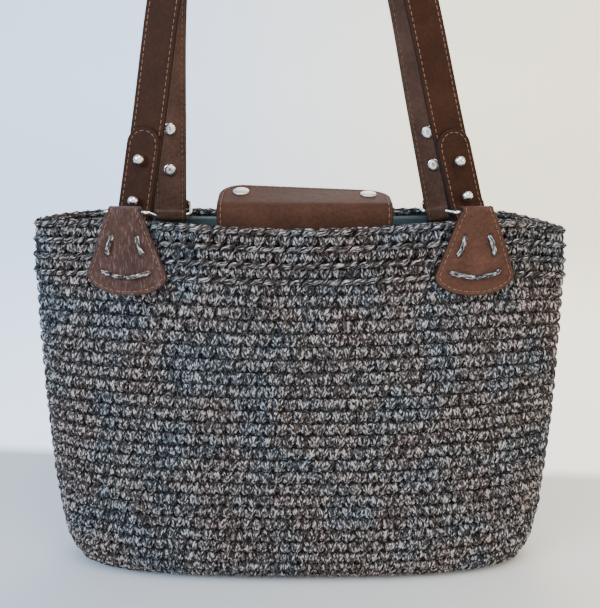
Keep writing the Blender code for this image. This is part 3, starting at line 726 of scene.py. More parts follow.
class Leg:
    """The frame of one tab, ring and strap end, from the same values as the CAD."""

    def __init__(self, row):
        (self.name, self.side, self.end, place, tilt, lean_in, lean_back,
         self.low_stud, self.stud_step) = row
        x = self.end * place * 0.5 * BAG_WIDTH
        near = 0.002
        self.foot = np.array((x, self.side * body_depth(x, 1.0), rim_height(x, self.side)))
        self.across = unit(np.array((2.0 * near, self.side * (
            body_depth(x + near, 1.0) - body_depth(x - near, 1.0)), 0.0)))
        self.out = np.array((-self.across[1], self.across[0], 0.0))
        if self.out[1] * self.side < 0.0:
            self.out = -self.out
        radius = fold_radius()
        self.bar_out = GAP + 0.5 * TAB_WALL - radius
        self.bar_up = TAB_FOLD_ABOVE_RIM - TAB_WALL - GAP - 0.5 * RING_WIRE
        self.tab_bar = self.foot + self.out * self.bar_out + UP * self.bar_up
        tilt, lean_in, lean_back = (math.radians(v) for v in (tilt, lean_in, lean_back))
        self.ring_way = UP * math.sin(tilt) - self.out * math.cos(tilt)
        self.strap_bar = self.tab_bar + self.ring_way * RING_SPAN
        sideways, inwards = -self.end * math.sin(lean_in), -self.side * math.sin(lean_back)
        self.up = np.array((sideways, inwards, math.sqrt(1.0 - sideways**2 - inwards**2)))
        self.face = unit(np.cross(self.up, self.across))
        if self.face @ self.out < 0.0:
            self.face = -self.face
        self.wide = unit(np.cross(self.face, self.up))
        self.skew = abs(self.up @ self.across)
        self.fold_length = self.low_stud + self.stud_step + STUD_BELOW_TIP

    def strap_point(self, out, up):
        """A point on the strap end's middle line."""
        return self.strap_bar + self.face * out + self.up * up

    def stud_heights(self):
        """Heights of the low and the high stud above the ring's bar."""
        return self.low_stud, self.low_stud + self.stud_step


def fold_radius():
    """Radius of a tab's middle line round the ring's wire."""
    return 0.5 * RING_WIRE + GAP + 0.5 * TAB_WALL


def layer_offset():
    """Distance of each strap layer's middle from the middle between the two."""
    return 0.5 * (STRAP_WALL + LAYER_GAP)


ALL_LEGS = {row[0]: Leg(row) for row in LEGS}


def strap_end_line(leg):
    """Middle line and thickness direction of a folded end, from its tip round the bar and up."""
    near = layer_offset()
    wide = 0.5 * RING_WIRE + GAP + 0.5 * STRAP_WALL
    lowest = -0.5 * STRAP_WIDTH * leg.skew
    down = np.linspace(leg.fold_length, LAYERS_MEET, 26)
    front = np.stack([np.full(26, near), down, np.ones(26), np.zeros(26)], -1)
    ease = np.linspace(0.0, 1.0, 7)[1:]
    blend = ease * ease * (3.0 - 2.0 * ease)
    part = np.stack([near + (wide - near) * blend,
                     LAYERS_MEET + (LAYERS_PART - LAYERS_MEET) * ease,
                     np.ones(6), np.zeros(6)], -1)
    depth_shade = np.stack([[wide], [0.5 * (LAYERS_PART + lowest)], [1.0], [0.0]], -1)
    angle = np.linspace(0.0, np.pi, 15)
    arc = np.stack([wide * np.cos(angle), lowest - wide * np.sin(angle), np.cos(angle),
                    -np.sin(angle)], -1)
    mirror = np.array((-1.0, 1.0, -1.0, 1.0))
    return np.concatenate([front, part, depth_shade, arc, depth_shade * mirror, part[::-1] * mirror,
                           front[::-1] * mirror])


def strap_course_points(leg, top, apex):
    """Points of the strap between a folded end's top and the arch's middle."""
    rows = np.array(STRAP_COURSE)
    height = top[2] + rows[:, 0] * (apex[2] - top[2])
    leaning = top[0] + leg.up[0] / leg.up[2] * (height - top[2])
    return np.stack([leaning + rows[:, 1] * (apex[0] - leaning), rows[:, 2] * apex[1], height], -1)


def strap_frames(left, right, steps=26):
    """Middle, width direction and thickness direction of a whole strap, from tip to tip."""
    parts = []
    for leg, order in ((left, 1), (right, -1)):
        line = strap_end_line(leg)
        middle = leg.strap_bar + line[:, 0:1] * leg.face + line[:, 1:2] * leg.up
        face = line[:, 2:3] * leg.face + line[:, 3:4] * leg.up
        wide = np.broadcast_to(order * leg.wide, middle.shape)
        parts.append((middle[::order], wide[::order], face[::order]))
    side = left.side
    pair = 0.5 * (STRAP_WIDTH + STRAP_PAIR_GAP)
    apex = np.array((STRAP_APEX_SHIFT, side * pair, BAG_HEIGHT + STRAP_RISE))
    tops = [leg.strap_point(-layer_offset(), leg.fold_length) for leg in (left, right)]
    rising = strap_course_points(left, tops[0], apex)
    falling = strap_course_points(right, tops[1], apex)[::-1]
    line = curve_through(np.concatenate([[tops[0]], rising, [apex], falling, [tops[1]]]),
                         left.up, -right.up, steps)
    half_turns = [0.0] + [row[3] for row in STRAP_COURSE]
    knots = np.array(half_turns + [1.0] + half_turns[::-1])
    turn = np.interp(np.arange(len(line)) / steps, np.arange(len(knots)), knots)
    line, turn = smooth_line(line, 9), smooth_line(turn[:, None], 15)[:, 0]
    way = unit(np.gradient(line, axis=0))
    outward = np.array((0.0, side, 0.0))
    base = unit(outward - way * (way @ outward)[:, None])
    sideways = np.cross(way, base)
    rests = [math.atan2(leg.face @ sideways[i], leg.face @ base[i])
             for leg, i in ((left, 0), (right, -1))]
    rest = np.where(np.arange(len(line)) < len(line) // 2, rests[0], rests[1])
    ease = turn * turn * (3.0 - 2.0 * turn)
    angle = (rest * (1.0 - ease) + 0.5 * math.pi * side * ease)[:, None]
    face = base * np.cos(angle) + sideways * np.sin(angle)
    wide = np.cross(face, way)
    arch = (line[1:-1], wide[1:-1], -face[1:-1])
    return [np.concatenate([parts[0][k], arch[k], parts[1][k]]) for k in range(3)]


def smooth_line(line, width):
    """Running mean along a line that keeps its two ends in place."""
    half = width // 2
    padded = np.concatenate([2 * line[:1] - line[half:0:-1], line,
                             2 * line[-1:] - line[-2:-half - 2:-1]])
    kernel = np.hanning(width + 2)[1:-1]
    kernel /= kernel.sum()
    return np.stack([np.convolve(padded[:, k], kernel, mode="valid")
                     for k in range(line.shape[1])], -1)


class StrapLay:
    """Lay of a strap: middle + across * width direction + lift * thickness direction."""

    def __init__(self, left, right):
        self.middle, self.wide, self.face = strap_frames(left, right)
        step = np.linalg.norm(np.diff(self.middle, axis=0), axis=-1)
        self.arc = np.concatenate([[0.0], np.cumsum(step)])
        self.length = self.arc[-1]

    def __call__(self, across, along, lift):
        def at(table):
            return np.stack([np.interp(along, self.arc, table[:, k]) for k in range(3)], -1)
        wide, face = unit(at(self.wide)), unit(at(self.face))
        return at(self.middle) + wide * across[..., None] + face * lift[..., None]


def strap_stations(lay):
    """Stations along a strap: the frame's own, with more of them in the rounded tips."""
    turn = np.linspace(0.0, 0.5 * np.pi, 15)
    tip = TIP_LENGTH * (1.0 - np.cos(turn))
    inside = lay.arc[(lay.arc > TIP_LENGTH + 0.0015) & (lay.arc < lay.length - TIP_LENGTH - 0.0015)]
    stations = np.concatenate([tip, inside, lay.length - tip[::-1]])
    half = np.concatenate([np.sin(turn), np.ones(len(inside)), np.sin(turn)[::-1]])
    return stations, 0.5 * STRAP_WIDTH * half


class TabLay:
    """Lay of a tab: over the ring's bar, then down the body's curved side.

    Its path is the return, half a circle and the panel; above the rim it grows flat.
    """

    def __init__(self, leg):
        self.leg = leg
        radius = fold_radius()
        angle = np.linspace(np.pi, 0.0, 17)
        low = leg.bar_up - TAB_RETURN
        panel_up = np.linspace(leg.bar_up, TAB_FOLD_ABOVE_RIM - TAB_HEIGHT, 90)[1:]
        out = np.concatenate([[leg.bar_out - radius], leg.bar_out + radius * np.cos(angle),
                              np.full(len(panel_up), leg.bar_out + radius)])
        up = np.concatenate([[low], leg.bar_up + radius * np.sin(angle), panel_up])
        self.normal_out = np.concatenate([[-1.0], np.cos(angle), np.ones(len(panel_up))])
        self.normal_up = np.concatenate([[0.0], np.sin(angle), np.zeros(len(panel_up))])
        self.out, self.up = out, up
        self.arc = np.concatenate([[0.0], np.cumsum(np.hypot(np.diff(out), np.diff(up)))])
        self.length = self.arc[-1]
        self.panel_start = self.arc[17]

    def __call__(self, across, along, lift):
        leg = self.leg
        out, up, n_out, n_up = (np.interp(along, self.arc, v)
                                for v in (self.out, self.up, self.normal_out, self.normal_up))
        x = leg.foot[0] + leg.across[0] * across
        share = np.minimum((leg.foot[2] + np.minimum(up, 0.0)) / BAG_HEIGHT, 1.0)
        flat = np.abs(leg.foot[1] + leg.across[1] * across)
        follow = (body_depth(x, share) - flat) * abs(leg.out[1])
        fade = 1.0 - np.clip(up / TAB_FOLD_ABOVE_RIM, 0.0, 1.0)
        outward = out + n_out * lift + follow * fade + TEXTILE_LIFT
        upward = up + n_up * lift
        return (leg.foot + leg.across * across[..., None] + UP * upward[..., None]
                + leg.out * outward[..., None])

    def along_at(self, down):
        """Place along the path at a height below the fold's top."""
        return self.panel_start + (down - (TAB_FOLD_ABOVE_RIM - self.leg.bar_up))


def tab_half_width(from_top):
    """Straight flare from neck to shoulder, then half an oval."""
    neck, wide = 0.5 * TAB_NECK, 0.5 * TAB_WIDTH
    flare = neck + (wide - neck) * np.clip(from_top, 0.0, TAB_SHOULDER) / TAB_SHOULDER
    oval = np.clip((from_top - TAB_SHOULDER) / (TAB_HEIGHT - TAB_SHOULDER), 0.0, 1.0)
    return flare * np.sqrt(np.maximum(0.0, 1.0 - oval**2))


def flap_length():
    """Length of the flap along its middle line."""
    return FLAP_ROOT + FLAP_RISE + FLAP_BEND_RADIUS * FLAP_BEND + FLAP_REACH


def flap_lay(across, along, lift):
    """Lay of the flap: up the inside of the wall, round its bend and back to its free end."""
    straight = FLAP_ROOT + FLAP_RISE
    angle = np.minimum(np.maximum(0.0, along - straight) / FLAP_BEND_RADIUS, FLAP_BEND)
    reach = np.maximum(0.0, along - straight - FLAP_BEND_RADIUS * FLAP_BEND)
    outward = -FLAP_BEND_RADIUS * (1.0 - np.cos(angle)) - np.sin(angle) * reach
    height = (np.minimum(along, straight) - FLAP_ROOT + FLAP_BEND_RADIUS * np.sin(angle)
              + np.cos(angle) * reach)
    free = np.maximum(0.0, along - FLAP_ROOT) / (flap_length() - FLAP_ROOT)
    inset = WALL + LINING_WALL + 2.0 * GAP + 0.5 * FLAP_WALL
    middle = body_depth(FLAP_SHIFT, 1.0, inset)
    follow = (body_depth(FLAP_SHIFT + across, 1.0, inset) - middle) * (1.0 - free)
    drop = FLAP_TWIST_DROP * free**2 * across / (0.5 * FLAP_WIDTH)
    out = middle + follow + outward + np.cos(angle) * lift
    up = rim_height(FLAP_SHIFT, -1) + height - drop + np.sin(angle) * lift
    return np.stack(np.broadcast_arrays(FLAP_SHIFT + across, -out, up), -1)


def flap_half_width(along):
    """Full width with a round corner at each side of the free end."""
    inner = np.maximum(0.0, FLAP_CORNER - (flap_length() - along))
    return 0.5 * FLAP_WIDTH - FLAP_CORNER + np.sqrt(np.maximum(0.0, FLAP_CORNER**2 - inner**2))


# ---- crochet

def row_share(row, look):
    """Share of the height at a round's number: even rounds up to the band, taller ones in it."""
    return np.interp(row, (0.0, look.rows - look.band_rows, look.rows), (0.0, BAND_START, 1.0))


def rest_on_table(points):
    """Yarn that would lie under the table is pressed flat: a quarter of its depth is kept."""
    low = 0.0010
    height = points[..., 2]
    flat = np.where(height < low, np.maximum(low - 0.25 * (low - height), 0.0002), height)
    return np.concatenate([points[..., :2], flat[..., None]], -1)


def stitch_row(start, count, low, high, lean, width, depth, out, seed):
    """One round of V stitches as one closed yarn that zigzags between a foot and a crown.

    Each leg follows LEG_COURSE, mirrored for the way down; the crown lies behind the next round's
    foot, and is shifted sideways by lean. A seeded wander gives each stitch its own small change.
    """
    last = len(LEG_COURSE) - 1
    falling = LEG_COURSE * (-1, 1, 1, 1) + (1, 0, 0, 0)
    course = np.concatenate([LEG_COURSE, falling[last - 1:0:-1]])
    steps = len(course)
    number = count * steps
    i = np.arange(number)
    stitch, k = i // steps, i % steps
    sideways, wave, tuck, size = course[k].T
    right = (k >= 1) & (k <= last)
    rng = np.random.default_rng(int(seed * 1000) + 11)
    wander = rng.normal(0.0, 1.0, (count, 4))
    near = np.where(right[:, None], wander[stitch], np.roll(wander, -1, 0)[stitch])
    bulge = np.sin(np.pi * wave)
    arc = (start + stitch + sideways + lean * wave + 0.045 * near[:, 0] * bulge) / count
    share = low + (high - low) * (wave + 0.040 * near[:, 1] * bulge)
    lift = out - tuck - 0.55 * depth + 0.0002 * near[:, 2] * bulge
    path = SHELL.place(arc, share, lift)[None]
    outward = SHELL.normal(arc, share)[None]
    size = size * (1.0 + 0.05 * near[:, 3] * bulge)
    profile = ply_profile(width, depth)[None, None] * size[None, :, None, None]
    points = sweep(path, outward, profile, closed=True)
    sides = profile.shape[2]
    uv = tube_uv(path, sides, [seed * 41.3], closed=True)
    # Painted shade: how deep each point is tucked sets how much its colour is darkened.
    depth_shade = np.repeat(np.clip(tuck / 0.0036, 0.0, 1.0), sides)
    return rest_on_table(points[0]), uv[0], grid_quads(number, sides, True, True), depth_shade


def braid_row(count, start, share, rise, reach, lift, width, depth, seed, direction=None):
    """A chain of slanted loops round the bag, each one lying over the tail of the last.

    Loop i runs from arc i - reach/2 to i + reach/2 (in stitches) and rises from below its line to
    above it; its depth under the surface is deepest at both ends.
    """
    t = np.linspace(0.0, 1.0, 8)[None]
    i = np.arange(count)[:, None]
    rng = np.random.default_rng(int(seed * 1000) + 5)
    wander = rng.normal(0.0, 1.0, (count, 3, 1))
    arc = (start + i + reach * (t - 0.5) + 0.05 * wander[:, 0]) / count
    high = share + rise * (t - 0.5 + 0.16 * np.sin(2.0 * np.pi * t)) + 0.0008 * wander[:, 1] * rise
    arch = np.sin(np.pi * t) ** 0.8
    path = SHELL.place(arc, high, lift - 0.0020 * (1.0 - arch) + 0.0002 * wander[:, 2])
    outward = SHELL.normal(arc, high)
    if direction is not None:
        outward = unit(outward * direction[0] + UP * direction[1])
    size = 0.25 + 0.75 * arch
    profile = ply_profile(width, depth, reach=120.0)[None, None] * size[..., None, None]
    points, uv, quads = open_yarns(path, outward, profile, i[:, 0] * 1.37 + seed * 17.0)
    # Painted shade: the tucked ends of each loop are darkened in its colour.
    depth_shade = np.broadcast_to((1.0 - arch)[..., None], uv.shape[:3]).ravel()
    return points, uv, quads, depth_shade


def join_parts(parts):
    """Several (points, uv, quads, number for each point) into one."""
    points, uvs, quads, marks, offset = [], [], [], [], 0
    for p, uv, q, mark in parts:
        points.append(p.reshape(-1, 3))
        uvs.append(uv.reshape(-1, 2))
        quads.append(q + offset)
        marks.append(mark)
        offset += len(points[-1])
    return tuple(np.concatenate(values) for values in (points, uvs, quads, marks))


def add_yarn(name, parts, material):
    """One mesh of yarn from several (points, uv, quads, painted shade for each point)."""
    points, uv, quads, depth_shade = join_parts(parts)
    return add_mesh(name, points, quads, material, uv=uv, marks={"depth_shade": depth_shade})


# ---- what a user would change

def colour_property(name, description, default):
    """A colour property."""
    return bpy.props.FloatVectorProperty(name=name, description=description, default=default,
                                         subtype="COLOR", size=3, min=0.0, max=1.0)


def length_property(name, description, default):
    """A length property in metres."""
    return bpy.props.FloatProperty(name=name, description=description, default=default,
                                   unit="LENGTH", subtype="DISTANCE", precision=5)


class HandbagYarn(bpy.types.PropertyGroup):
    """The yarn and the stitches of the body."""

    rows: bpy.props.IntProperty(name="Rows", description="Crocheted rounds up the wall", default=28)
    stitches: bpy.props.IntProperty(
        name="Stitches", description="Stitches in one round", default=98)
    band_rows: bpy.props.IntProperty(
        name="Band rows", description="Rounds at the rim with a braided front loop", default=4)
    thickness: length_property("Yarn width", "Width of one leg of a V stitch", 0.0050)
    drift: bpy.props.FloatProperty(
        name="Drift", description="Sideways step of each round, in stitches", default=0.38)
    lean: bpy.props.FloatProperty(
        name="Lean", description="Sideways lean of one stitch, in stitches", default=0.16)
    ply_twist: bpy.props.FloatProperty(
        name="Ply twist", description="Plies that cross a line in each centimetre", default=0.9)
    dark: colour_property("Dark ply", "Colour of the black plies", (0.0095, 0.0065, 0.0068))
    grey: colour_property("Grey ply", "Colour of the grey plies", (0.085, 0.080, 0.080))
    light: colour_property("Light ply", "Colour of the white plies", (0.72, 0.675, 0.655))
    cool_batch: colour_property("Cool batch", "Tint where the yarn is bluish", (0.79, 0.90, 1.0))
    warm_batch: colour_property("Warm batch", "Tint where the yarn is pinkish", (1.0, 0.87, 0.83))
    brown: colour_property("Brown fibres", "Colour of the brown fibres", (0.125, 0.078, 0.062))
    teal: colour_property("Teal fibres", "Colour of the teal fibres", (0.040, 0.062, 0.070))


class HandbagLeather(bpy.types.PropertyGroup):
    """The leather, its seams and the lining."""

    strap: colour_property("Strap leather", "Colour of the front strap", (0.030, 0.0115, 0.0060))
    # The back strap's colour is the strap leather painted paler, for the light and haze on its
    # inner side, which faces the front.
    lit_back_strap: colour_property("Back strap leather", "Colour of the back strap, painted paler for the light on its inner side",
                                (0.080, 0.042, 0.030))
    tab: colour_property("Tab leather", "Colour of the tabs", (0.074, 0.034, 0.022))
    # Painted sheen: a pale colour mixed onto the crease tops of the left tabs.
    painted_crease_sheen: colour_property("Crease tops", "Painted sheen on the left tabs' crease tops",
                           (0.27, 0.215, 0.235))
    flap: colour_property("Flap leather", "Colour of the flap", (0.050, 0.021, 0.0125))
    edge: colour_property("Edge paint", "Colour of the cut edges", (0.012, 0.006, 0.005))
    thread: colour_property("Thread", "Colour of the sewing thread", (0.20, 0.105, 0.062))
    lining: colour_property("Lining", "Colour of the satin", (0.026, 0.052, 0.058))
    seam: length_property("Seam", "Distance of the seam from the edge", 0.0030)
    stitch: length_property("Stitch", "Distance from one stitch to the next", 0.0043)


class HandbagMetal(bpy.types.PropertyGroup):
    """The rings, studs and rivets."""

    colour: colour_property("Metal", "Colour of the polished metal", (0.80, 0.78, 0.75))
    cap: colour_property("Rivet caps", "Colour of the rivets' caps", (0.66, 0.62, 0.55))
    roughness: bpy.props.FloatProperty(
        name="Roughness", description="Roughness of the polished metal", default=0.20)


class HandbagStage(bpy.types.PropertyGroup):
    """The floor, the light and the camera."""

    # Painted light: the floor and the wall run from cool colours on the left to warm ones on the
    # right, as the light from each side falls on them; the floor is also darker on the left.
    floor_left: colour_property("Floor left", "Colour of the floor on the left", (0.47, 0.50, 0.55))
    floor_right: colour_property("Floor right", "Colour of the floor on the right",
                                 (0.75, 0.725, 0.65))
    wall_left: colour_property("Wall left", "Colour of the wall on the left", (0.66, 0.80, 1.0))
    wall_right: colour_property("Wall right", "Colour of the wall on the right", (1.0, 0.92, 0.75))
    wall_glow: bpy.props.FloatProperty(name="Wall glow", description="Light of the wall itself",
                                       default=0.95)
    lens: bpy.props.FloatProperty(name="Lens", description="Focal length of the camera",
                                  default=42.0, unit="CAMERA")
    distance: length_property("Distance", "Camera's distance from the bag's middle", 0.5303)
    height: length_property("Height", "Camera's height above the floor", 0.3378)
    tilt: bpy.props.FloatProperty(name="Tilt", description="Camera's turn up from straight down",
                                  default=math.radians(76.69), subtype="ANGLE")


# ---- pieces

class HANDBAG_OT_yarn_shell(bpy.types.Operator):
    """Add the ribbed wall under the stitches, its inside and its base, dark as painted shade."""

    bl_idname = "handbag.yarn_shell"
    bl_label = "Yarn shell"

    def execute(self, context):
        look = context.scene.handbag_yarn
        # Painted shade: the shell is a copy of the yarn at a fifth of its brightness, dark as the
        # shade between the stitches.
        material = yarn_material("Melange yarn shell", look, painted_brightness=0.20)
        arcs = 2 * look.stitches
        arc = np.arange(arcs) / arcs
        wave = np.cos(2.0 * np.pi * arc * look.stitches)
        levels = np.linspace(0.0, 1.0, 2 * look.rows + 1)
        rib = SHELL_RIB * np.cos(2.0 * np.pi * levels * look.rows)
        base = -np.array((0.132, 0.10, 0.065, 0.03, 0.012))
        shares = np.concatenate([base, levels])
        lifts = np.concatenate([np.full(len(base), -SHELL_BASE_DEPTH), -SHELL_DEPTH - rib])
        outer = SHELL.place(arc[None], shares[:, None] * np.ones_like(arc)[None],
                            lifts[:, None] + SHELL_WAVE * wave[None])
        lip = [SHELL.place(arc, np.full(arcs, 1.0), np.full(arcs, -inwards)) + UP * height
               for inwards, height in SHELL_LIP]
        inside = np.array((0.97, 0.94, 0.90, 0.80, 0.60, 0.40, 0.20, 0.085, 0.045))
        inner = SHELL.place(arc[None], inside[:, None] * np.ones_like(arc)[None],
                            np.full((len(inside), arcs), -WALL))
        floor = [inner[-1] * (k, k, 0.0) + (0.0, 0.0, BASE_WALL) for k in (0.97, 0.5, 0.0)]
        under = outer[0] * (0.0, 0.0, 1.0)
        grid = np.concatenate([[under], outer, np.stack(lip), inner, np.stack(floor)])
        height = np.concatenate([[0.0], shares, np.ones(len(lip)), inside, np.zeros(len(floor))])
        along = 130.0 * BAG_HEIGHT * height[:, None]
        uv = np.stack(np.broadcast_arrays(along, arc[None] * look.stitches), -1)
        shell = add_mesh("yarn_shell", grid, grid_quads(len(grid), arcs, close_cols=True),
                         material, uv=uv, weld=True)
        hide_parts("body")
        return {"FINISHED"}


class HANDBAG_OT_wall_stitches(bpy.types.Operator):
    """Add the rounds of V stitches up the wall, seven rounds to a piece."""

    bl_idname = "handbag.wall_stitches"
    bl_label = "Wall stitches"

    def execute(self, context):
        look = context.scene.handbag_yarn
        material = yarn_material("Melange yarn", look)
        plain = look.rows - look.band_rows
        half = 0.5 * look.thickness
        for part, first in enumerate(range(0, look.rows, ROWS_IN_PIECE)):
            rows = []
            for row in range(first, min(first + ROWS_IN_PIECE, look.rows)):
                banded = row >= plain
                low = row_share(row + (0.0 if banded else 0.08), look)
                high = row_share(row + (0.66 if banded else 0.97), look)
                rows.append(stitch_row(row * look.drift, look.stitches, low, high, look.lean,
                                       half, STITCH_DEPTH, STITCH_LIFT, row + 1.0))
            add_yarn(f"wall_stitches_{part + 1}", rows, material)
        return {"FINISHED"}


class HANDBAG_OT_top_band(bpy.types.Operator):
    """Add the braided front loops of the band and the chain that lies on the rim."""

    bl_idname = "handbag.top_band"
    bl_label = "Top band"

    def execute(self, context):
        look = context.scene.handbag_yarn
        # Painted light: the braid's yarn is a slightly brighter copy.
        material = yarn_material("Melange yarn braid", look, painted_brightness=1.1, streak=1.9)
        pitch = (1.0 - BAND_START) / look.band_rows
        rows = []
        for k in range(look.band_rows):
            row = look.rows - look.band_rows + k
            rows.append(braid_row(look.stitches, row * look.drift, row_share(row + 0.83, look),
                                  0.62 * pitch, 1.30, 0.0006, 0.0020, 0.0020, 40.0 + k))
        for k, lift in enumerate((-0.0022, -0.0056)):
            rows.append(braid_row(look.stitches, 0.5 * k, 1.0 - 0.0016 / BAG_HEIGHT * k,
                                  0.0, 1.5, lift, 0.0019, 0.0016, 50.0 + k,
                                  direction=(0.5 - k, 1.0)))
        add_yarn("top_band", rows, material)
        return {"FINISHED"}


class HANDBAG_OT_base_stitches(bpy.types.Operator):
    """Add the rounds of the flat base, each shorter than the one outside it."""

    bl_idname = "handbag.base_stitches"
    bl_label = "Base stitches"

    def execute(self, context):
        look = context.scene.handbag_yarn
        material = yarn_material("Melange yarn base", look)
        rows = []
        for k, inset in enumerate(BASE_ROUNDS):
            share = -inset / BAG_HEIGHT
            level = (share - SHELL.LOW) / (1.0 - SHELL.LOW) * (SHELL.LEVELS - 1)
            count = int(round(SHELL.round[int(level)] / BASE_STITCH))
            rows.append(stitch_row(0.4 * k, count, share - BASE_STITCH_LENGTH / BAG_HEIGHT,
                                   share, -0.2, 0.0023, 0.0018, -0.0008, 60.0 + k))
        add_yarn("base_stitches", rows, material)
        return {"FINISHED"}


class HANDBAG_OT_lining(bpy.types.Operator):
    """Add the satin lining, a cup with a turned hem and shallow folds."""

    bl_idname = "handbag.lining"
    bl_label = "Lining"

    def execute(self, context):
        look = context.scene.handbag_leather
        arcs = 294
        share = np.array((1.0, 0.99, 0.97, 0.93, 0.86, 0.76, 0.64, 0.52, 0.40, 0.28, 0.18, 0.09,
                          0.045))
        share, arc = np.meshgrid(share, np.arange(arcs) / arcs, indexing="ij")
        fold = (0.5 + 0.5 * np.sin(2.0 * np.pi * (arc * 23.0 + 0.8 * share))
                + 0.5 * np.sin(2.0 * np.pi * (arc * 41.0 - 1.7 * share) + 1.0))
        depth = np.clip((1.0 - share) * 6.0, 0.0, 1.0) * 0.0011
        lift = -(WALL + GAP) - depth * fold
        height = share * (1.0 - LINING_BELOW_RIM / BAG_HEIGHT)
        outer, inner = (SHELL.place(arc, height, lift - wall) for wall in (0.0, LINING_WALL))
        low, low_in = (side[-1] * (0.985, 0.985, 0.0) + UP * (BASE_WALL + GAP + wall)
                       for side, wall in ((outer, 0.0), (inner, LINING_WALL)))
        grid = np.concatenate([[low * (k, k, 1.0) for k in (0.0, 0.6, 1.0)], outer[::-1], inner,
                               [low_in * (k, k, 1.0) for k in (1.0, 0.6, 0.0)]])
        material = satin_material("Teal satin", look.lining)
        lining = add_mesh("satin_lining", grid, grid_quads(len(grid), arcs, close_cols=True),
                          material, weld=True)
        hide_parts("lining")
        return {"FINISHED"}


class HANDBAG_OT_flap(bpy.types.Operator):
    """Add the leather flap with its seam."""

    bl_idname = "handbag.flap"
    bl_label = "Flap"

    def execute(self, context):
        look = context.scene.handbag_leather
        material = leather_material("Flap leather", look.flap, look.edge)
        length = flap_length()
        corner = FLAP_CORNER * np.sin(np.linspace(0.0, 0.5 * np.pi, 22))
        stations = np.concatenate([(0.0, 0.0001, 0.0003, 0.0007, 0.0013),
                                   np.linspace(0.004, length - FLAP_CORNER, 34)[:-1],
                                   length - FLAP_CORNER + corner])
        half = flap_half_width(stations)
        flap = leather_panel("leather_flap", stations, half, flap_lay, FLAP_WALL, material,
                             look.seam, 15)
        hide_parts("flap")
        free = np.linspace(0.010, length - FLAP_CORNER, 40)[:-1]
        along = np.concatenate([free, length - FLAP_CORNER + corner])
        line = seam_line(panel_outline(along, flap_half_width(along)), look.seam, closed=False)
        groups = [thread_arrays(line, flap_lay, sign * 0.5 * FLAP_WALL, look.stitch)
                  for sign in (1.0, -1.0)]
        groups[1] = (groups[1][0], groups[1][1], -groups[1][2])
        thread_mesh("flap_seam", groups, thread_material("Flap thread", look.thread))
        return {"FINISHED"}


class HANDBAG_OT_tabs(bpy.types.Operator):
    """Add the four tabs, their seams and the yarn that laces them to the body."""

    bl_idname = "handbag.tabs"
    bl_label = "Tabs"

    def execute(self, context):
        look = context.scene.handbag_leather
        yarn = context.scene.handbag_yarn
        # Painted sheen: the left tabs get a darker copy of the tab leather with a pale colour on
        # their crease tops; the right tabs' leather is plain.
        left = leather_material("Tab leather left", scaled(look.tab, 0.80), look.edge,
                                roughness=0.56, sheen=0.12, stretch=(5.6, 5.6, 0.85),
                                crease=0.0012, painted_crease_sheen=look.painted_crease_sheen)
        right = leather_material("Tab leather right", look.tab, look.edge, roughness=0.58,
                                 stretch=(0.60, 0.60, 3.2), crease=0.0010)
        # Painted light: the lacing's yarn is a brighter copy, for the light on it over the tab.
        lace = yarn_material("Lacing yarn", yarn, painted_brightness=1.6, streak=2.2)
        thread = thread_material("Tab thread", look.thread)
        for leg in ALL_LEGS.values():
            lay = TabLay(leg)
            top = TAB_FOLD_ABOVE_RIM - leg.bar_up
            down = np.concatenate([
                np.linspace(top, TAB_SHOULDER, 40),
                TAB_SHOULDER + (TAB_HEIGHT - TAB_SHOULDER)
                * np.sin(np.linspace(0.0, 0.5 * np.pi, 22)[1:])])
            fold = np.concatenate([(0.0, 0.0001, 0.0003, 0.0007, 0.0015, 0.003),
                                   np.linspace(lay.arc[1], lay.panel_start, 15)[:-1]])
            stations = np.concatenate([fold, lay.along_at(down)])
            half = np.concatenate([np.full(len(fold), 0.5 * TAB_NECK), tab_half_width(down)])
            half[:len(fold)] = tab_half_width(0.0)
            half[-1] = 0.0
            dents = []
            for across, share in LACE_HOLES:
                for end in ((-1, 1) if across else (1,)):
                    dents.append((end * across * 0.5 * TAB_WIDTH, lay.along_at(share * TAB_HEIGHT),
                                  0.0015, 0.0011))
            tab = leather_panel("leather_tab_" + leg.name, stations, half, lay, TAB_WALL,
                                left if leg.end < 0 else right, look.seam, 17,
                                dents)
            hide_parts("tab_" + leg.name)
            outer = stations >= lay.panel_start - 0.004
            line = panel_outline(stations[outer], half[outer])
            line = seam_line(line, look.seam, closed=False)
            groups = [thread_arrays(line, lay, 0.5 * TAB_WALL, look.stitch)]
            thread_mesh("tab_seam_" + leg.name, groups, thread)
            self.add_lacing(leg, lay, lace)
        return {"FINISHED"}

    def add_lacing(self, leg, lay, material):
        """Yarn between the holes: each run bows out by a sine and dives in at both ends."""
        holes = {}
        for k, (across, share) in enumerate(LACE_HOLES):
            for end in (-1, 1):
                holes[k, end] = (end * across * 0.5 * TAB_WIDTH, lay.along_at(share * TAB_HEIGHT))
        runs = [(holes[0, -1], holes[1, -1]), (holes[0, 1], holes[1, 1]),
                (holes[2, -1], holes[3, 1]), (holes[3, 1], holes[2, 1])]
        t = np.linspace(0.0, 1.0, 14)[None]
        start = np.array([r[0] for r in runs])[:, None]
        end = np.array([r[1] for r in runs])[:, None]
        flat = start + (end - start) * t[..., None]
        rise = -0.0022 + 0.0041 * np.minimum(1.0, np.sin(np.pi * t) ** 0.55 * 1.08)
        lift = np.broadcast_to(0.5 * TAB_WALL + rise, flat.shape[:2])
        path = lay(flat[..., 0], flat[..., 1], lift)
        outward = unit(lay(flat[..., 0], flat[..., 1], lift + 0.001) - path)
        profile = ply_profile(0.00165, 0.00135, groove=0.26, reach=120.0)[None, None]
        start = np.arange(len(runs)) * 5.3 + leg.foot[0] * 90.0
        points, uv, quads = open_yarns(path, outward, profile, start)
        add_mesh("lacing_" + leg.name, points, quads, material, uv=uv)


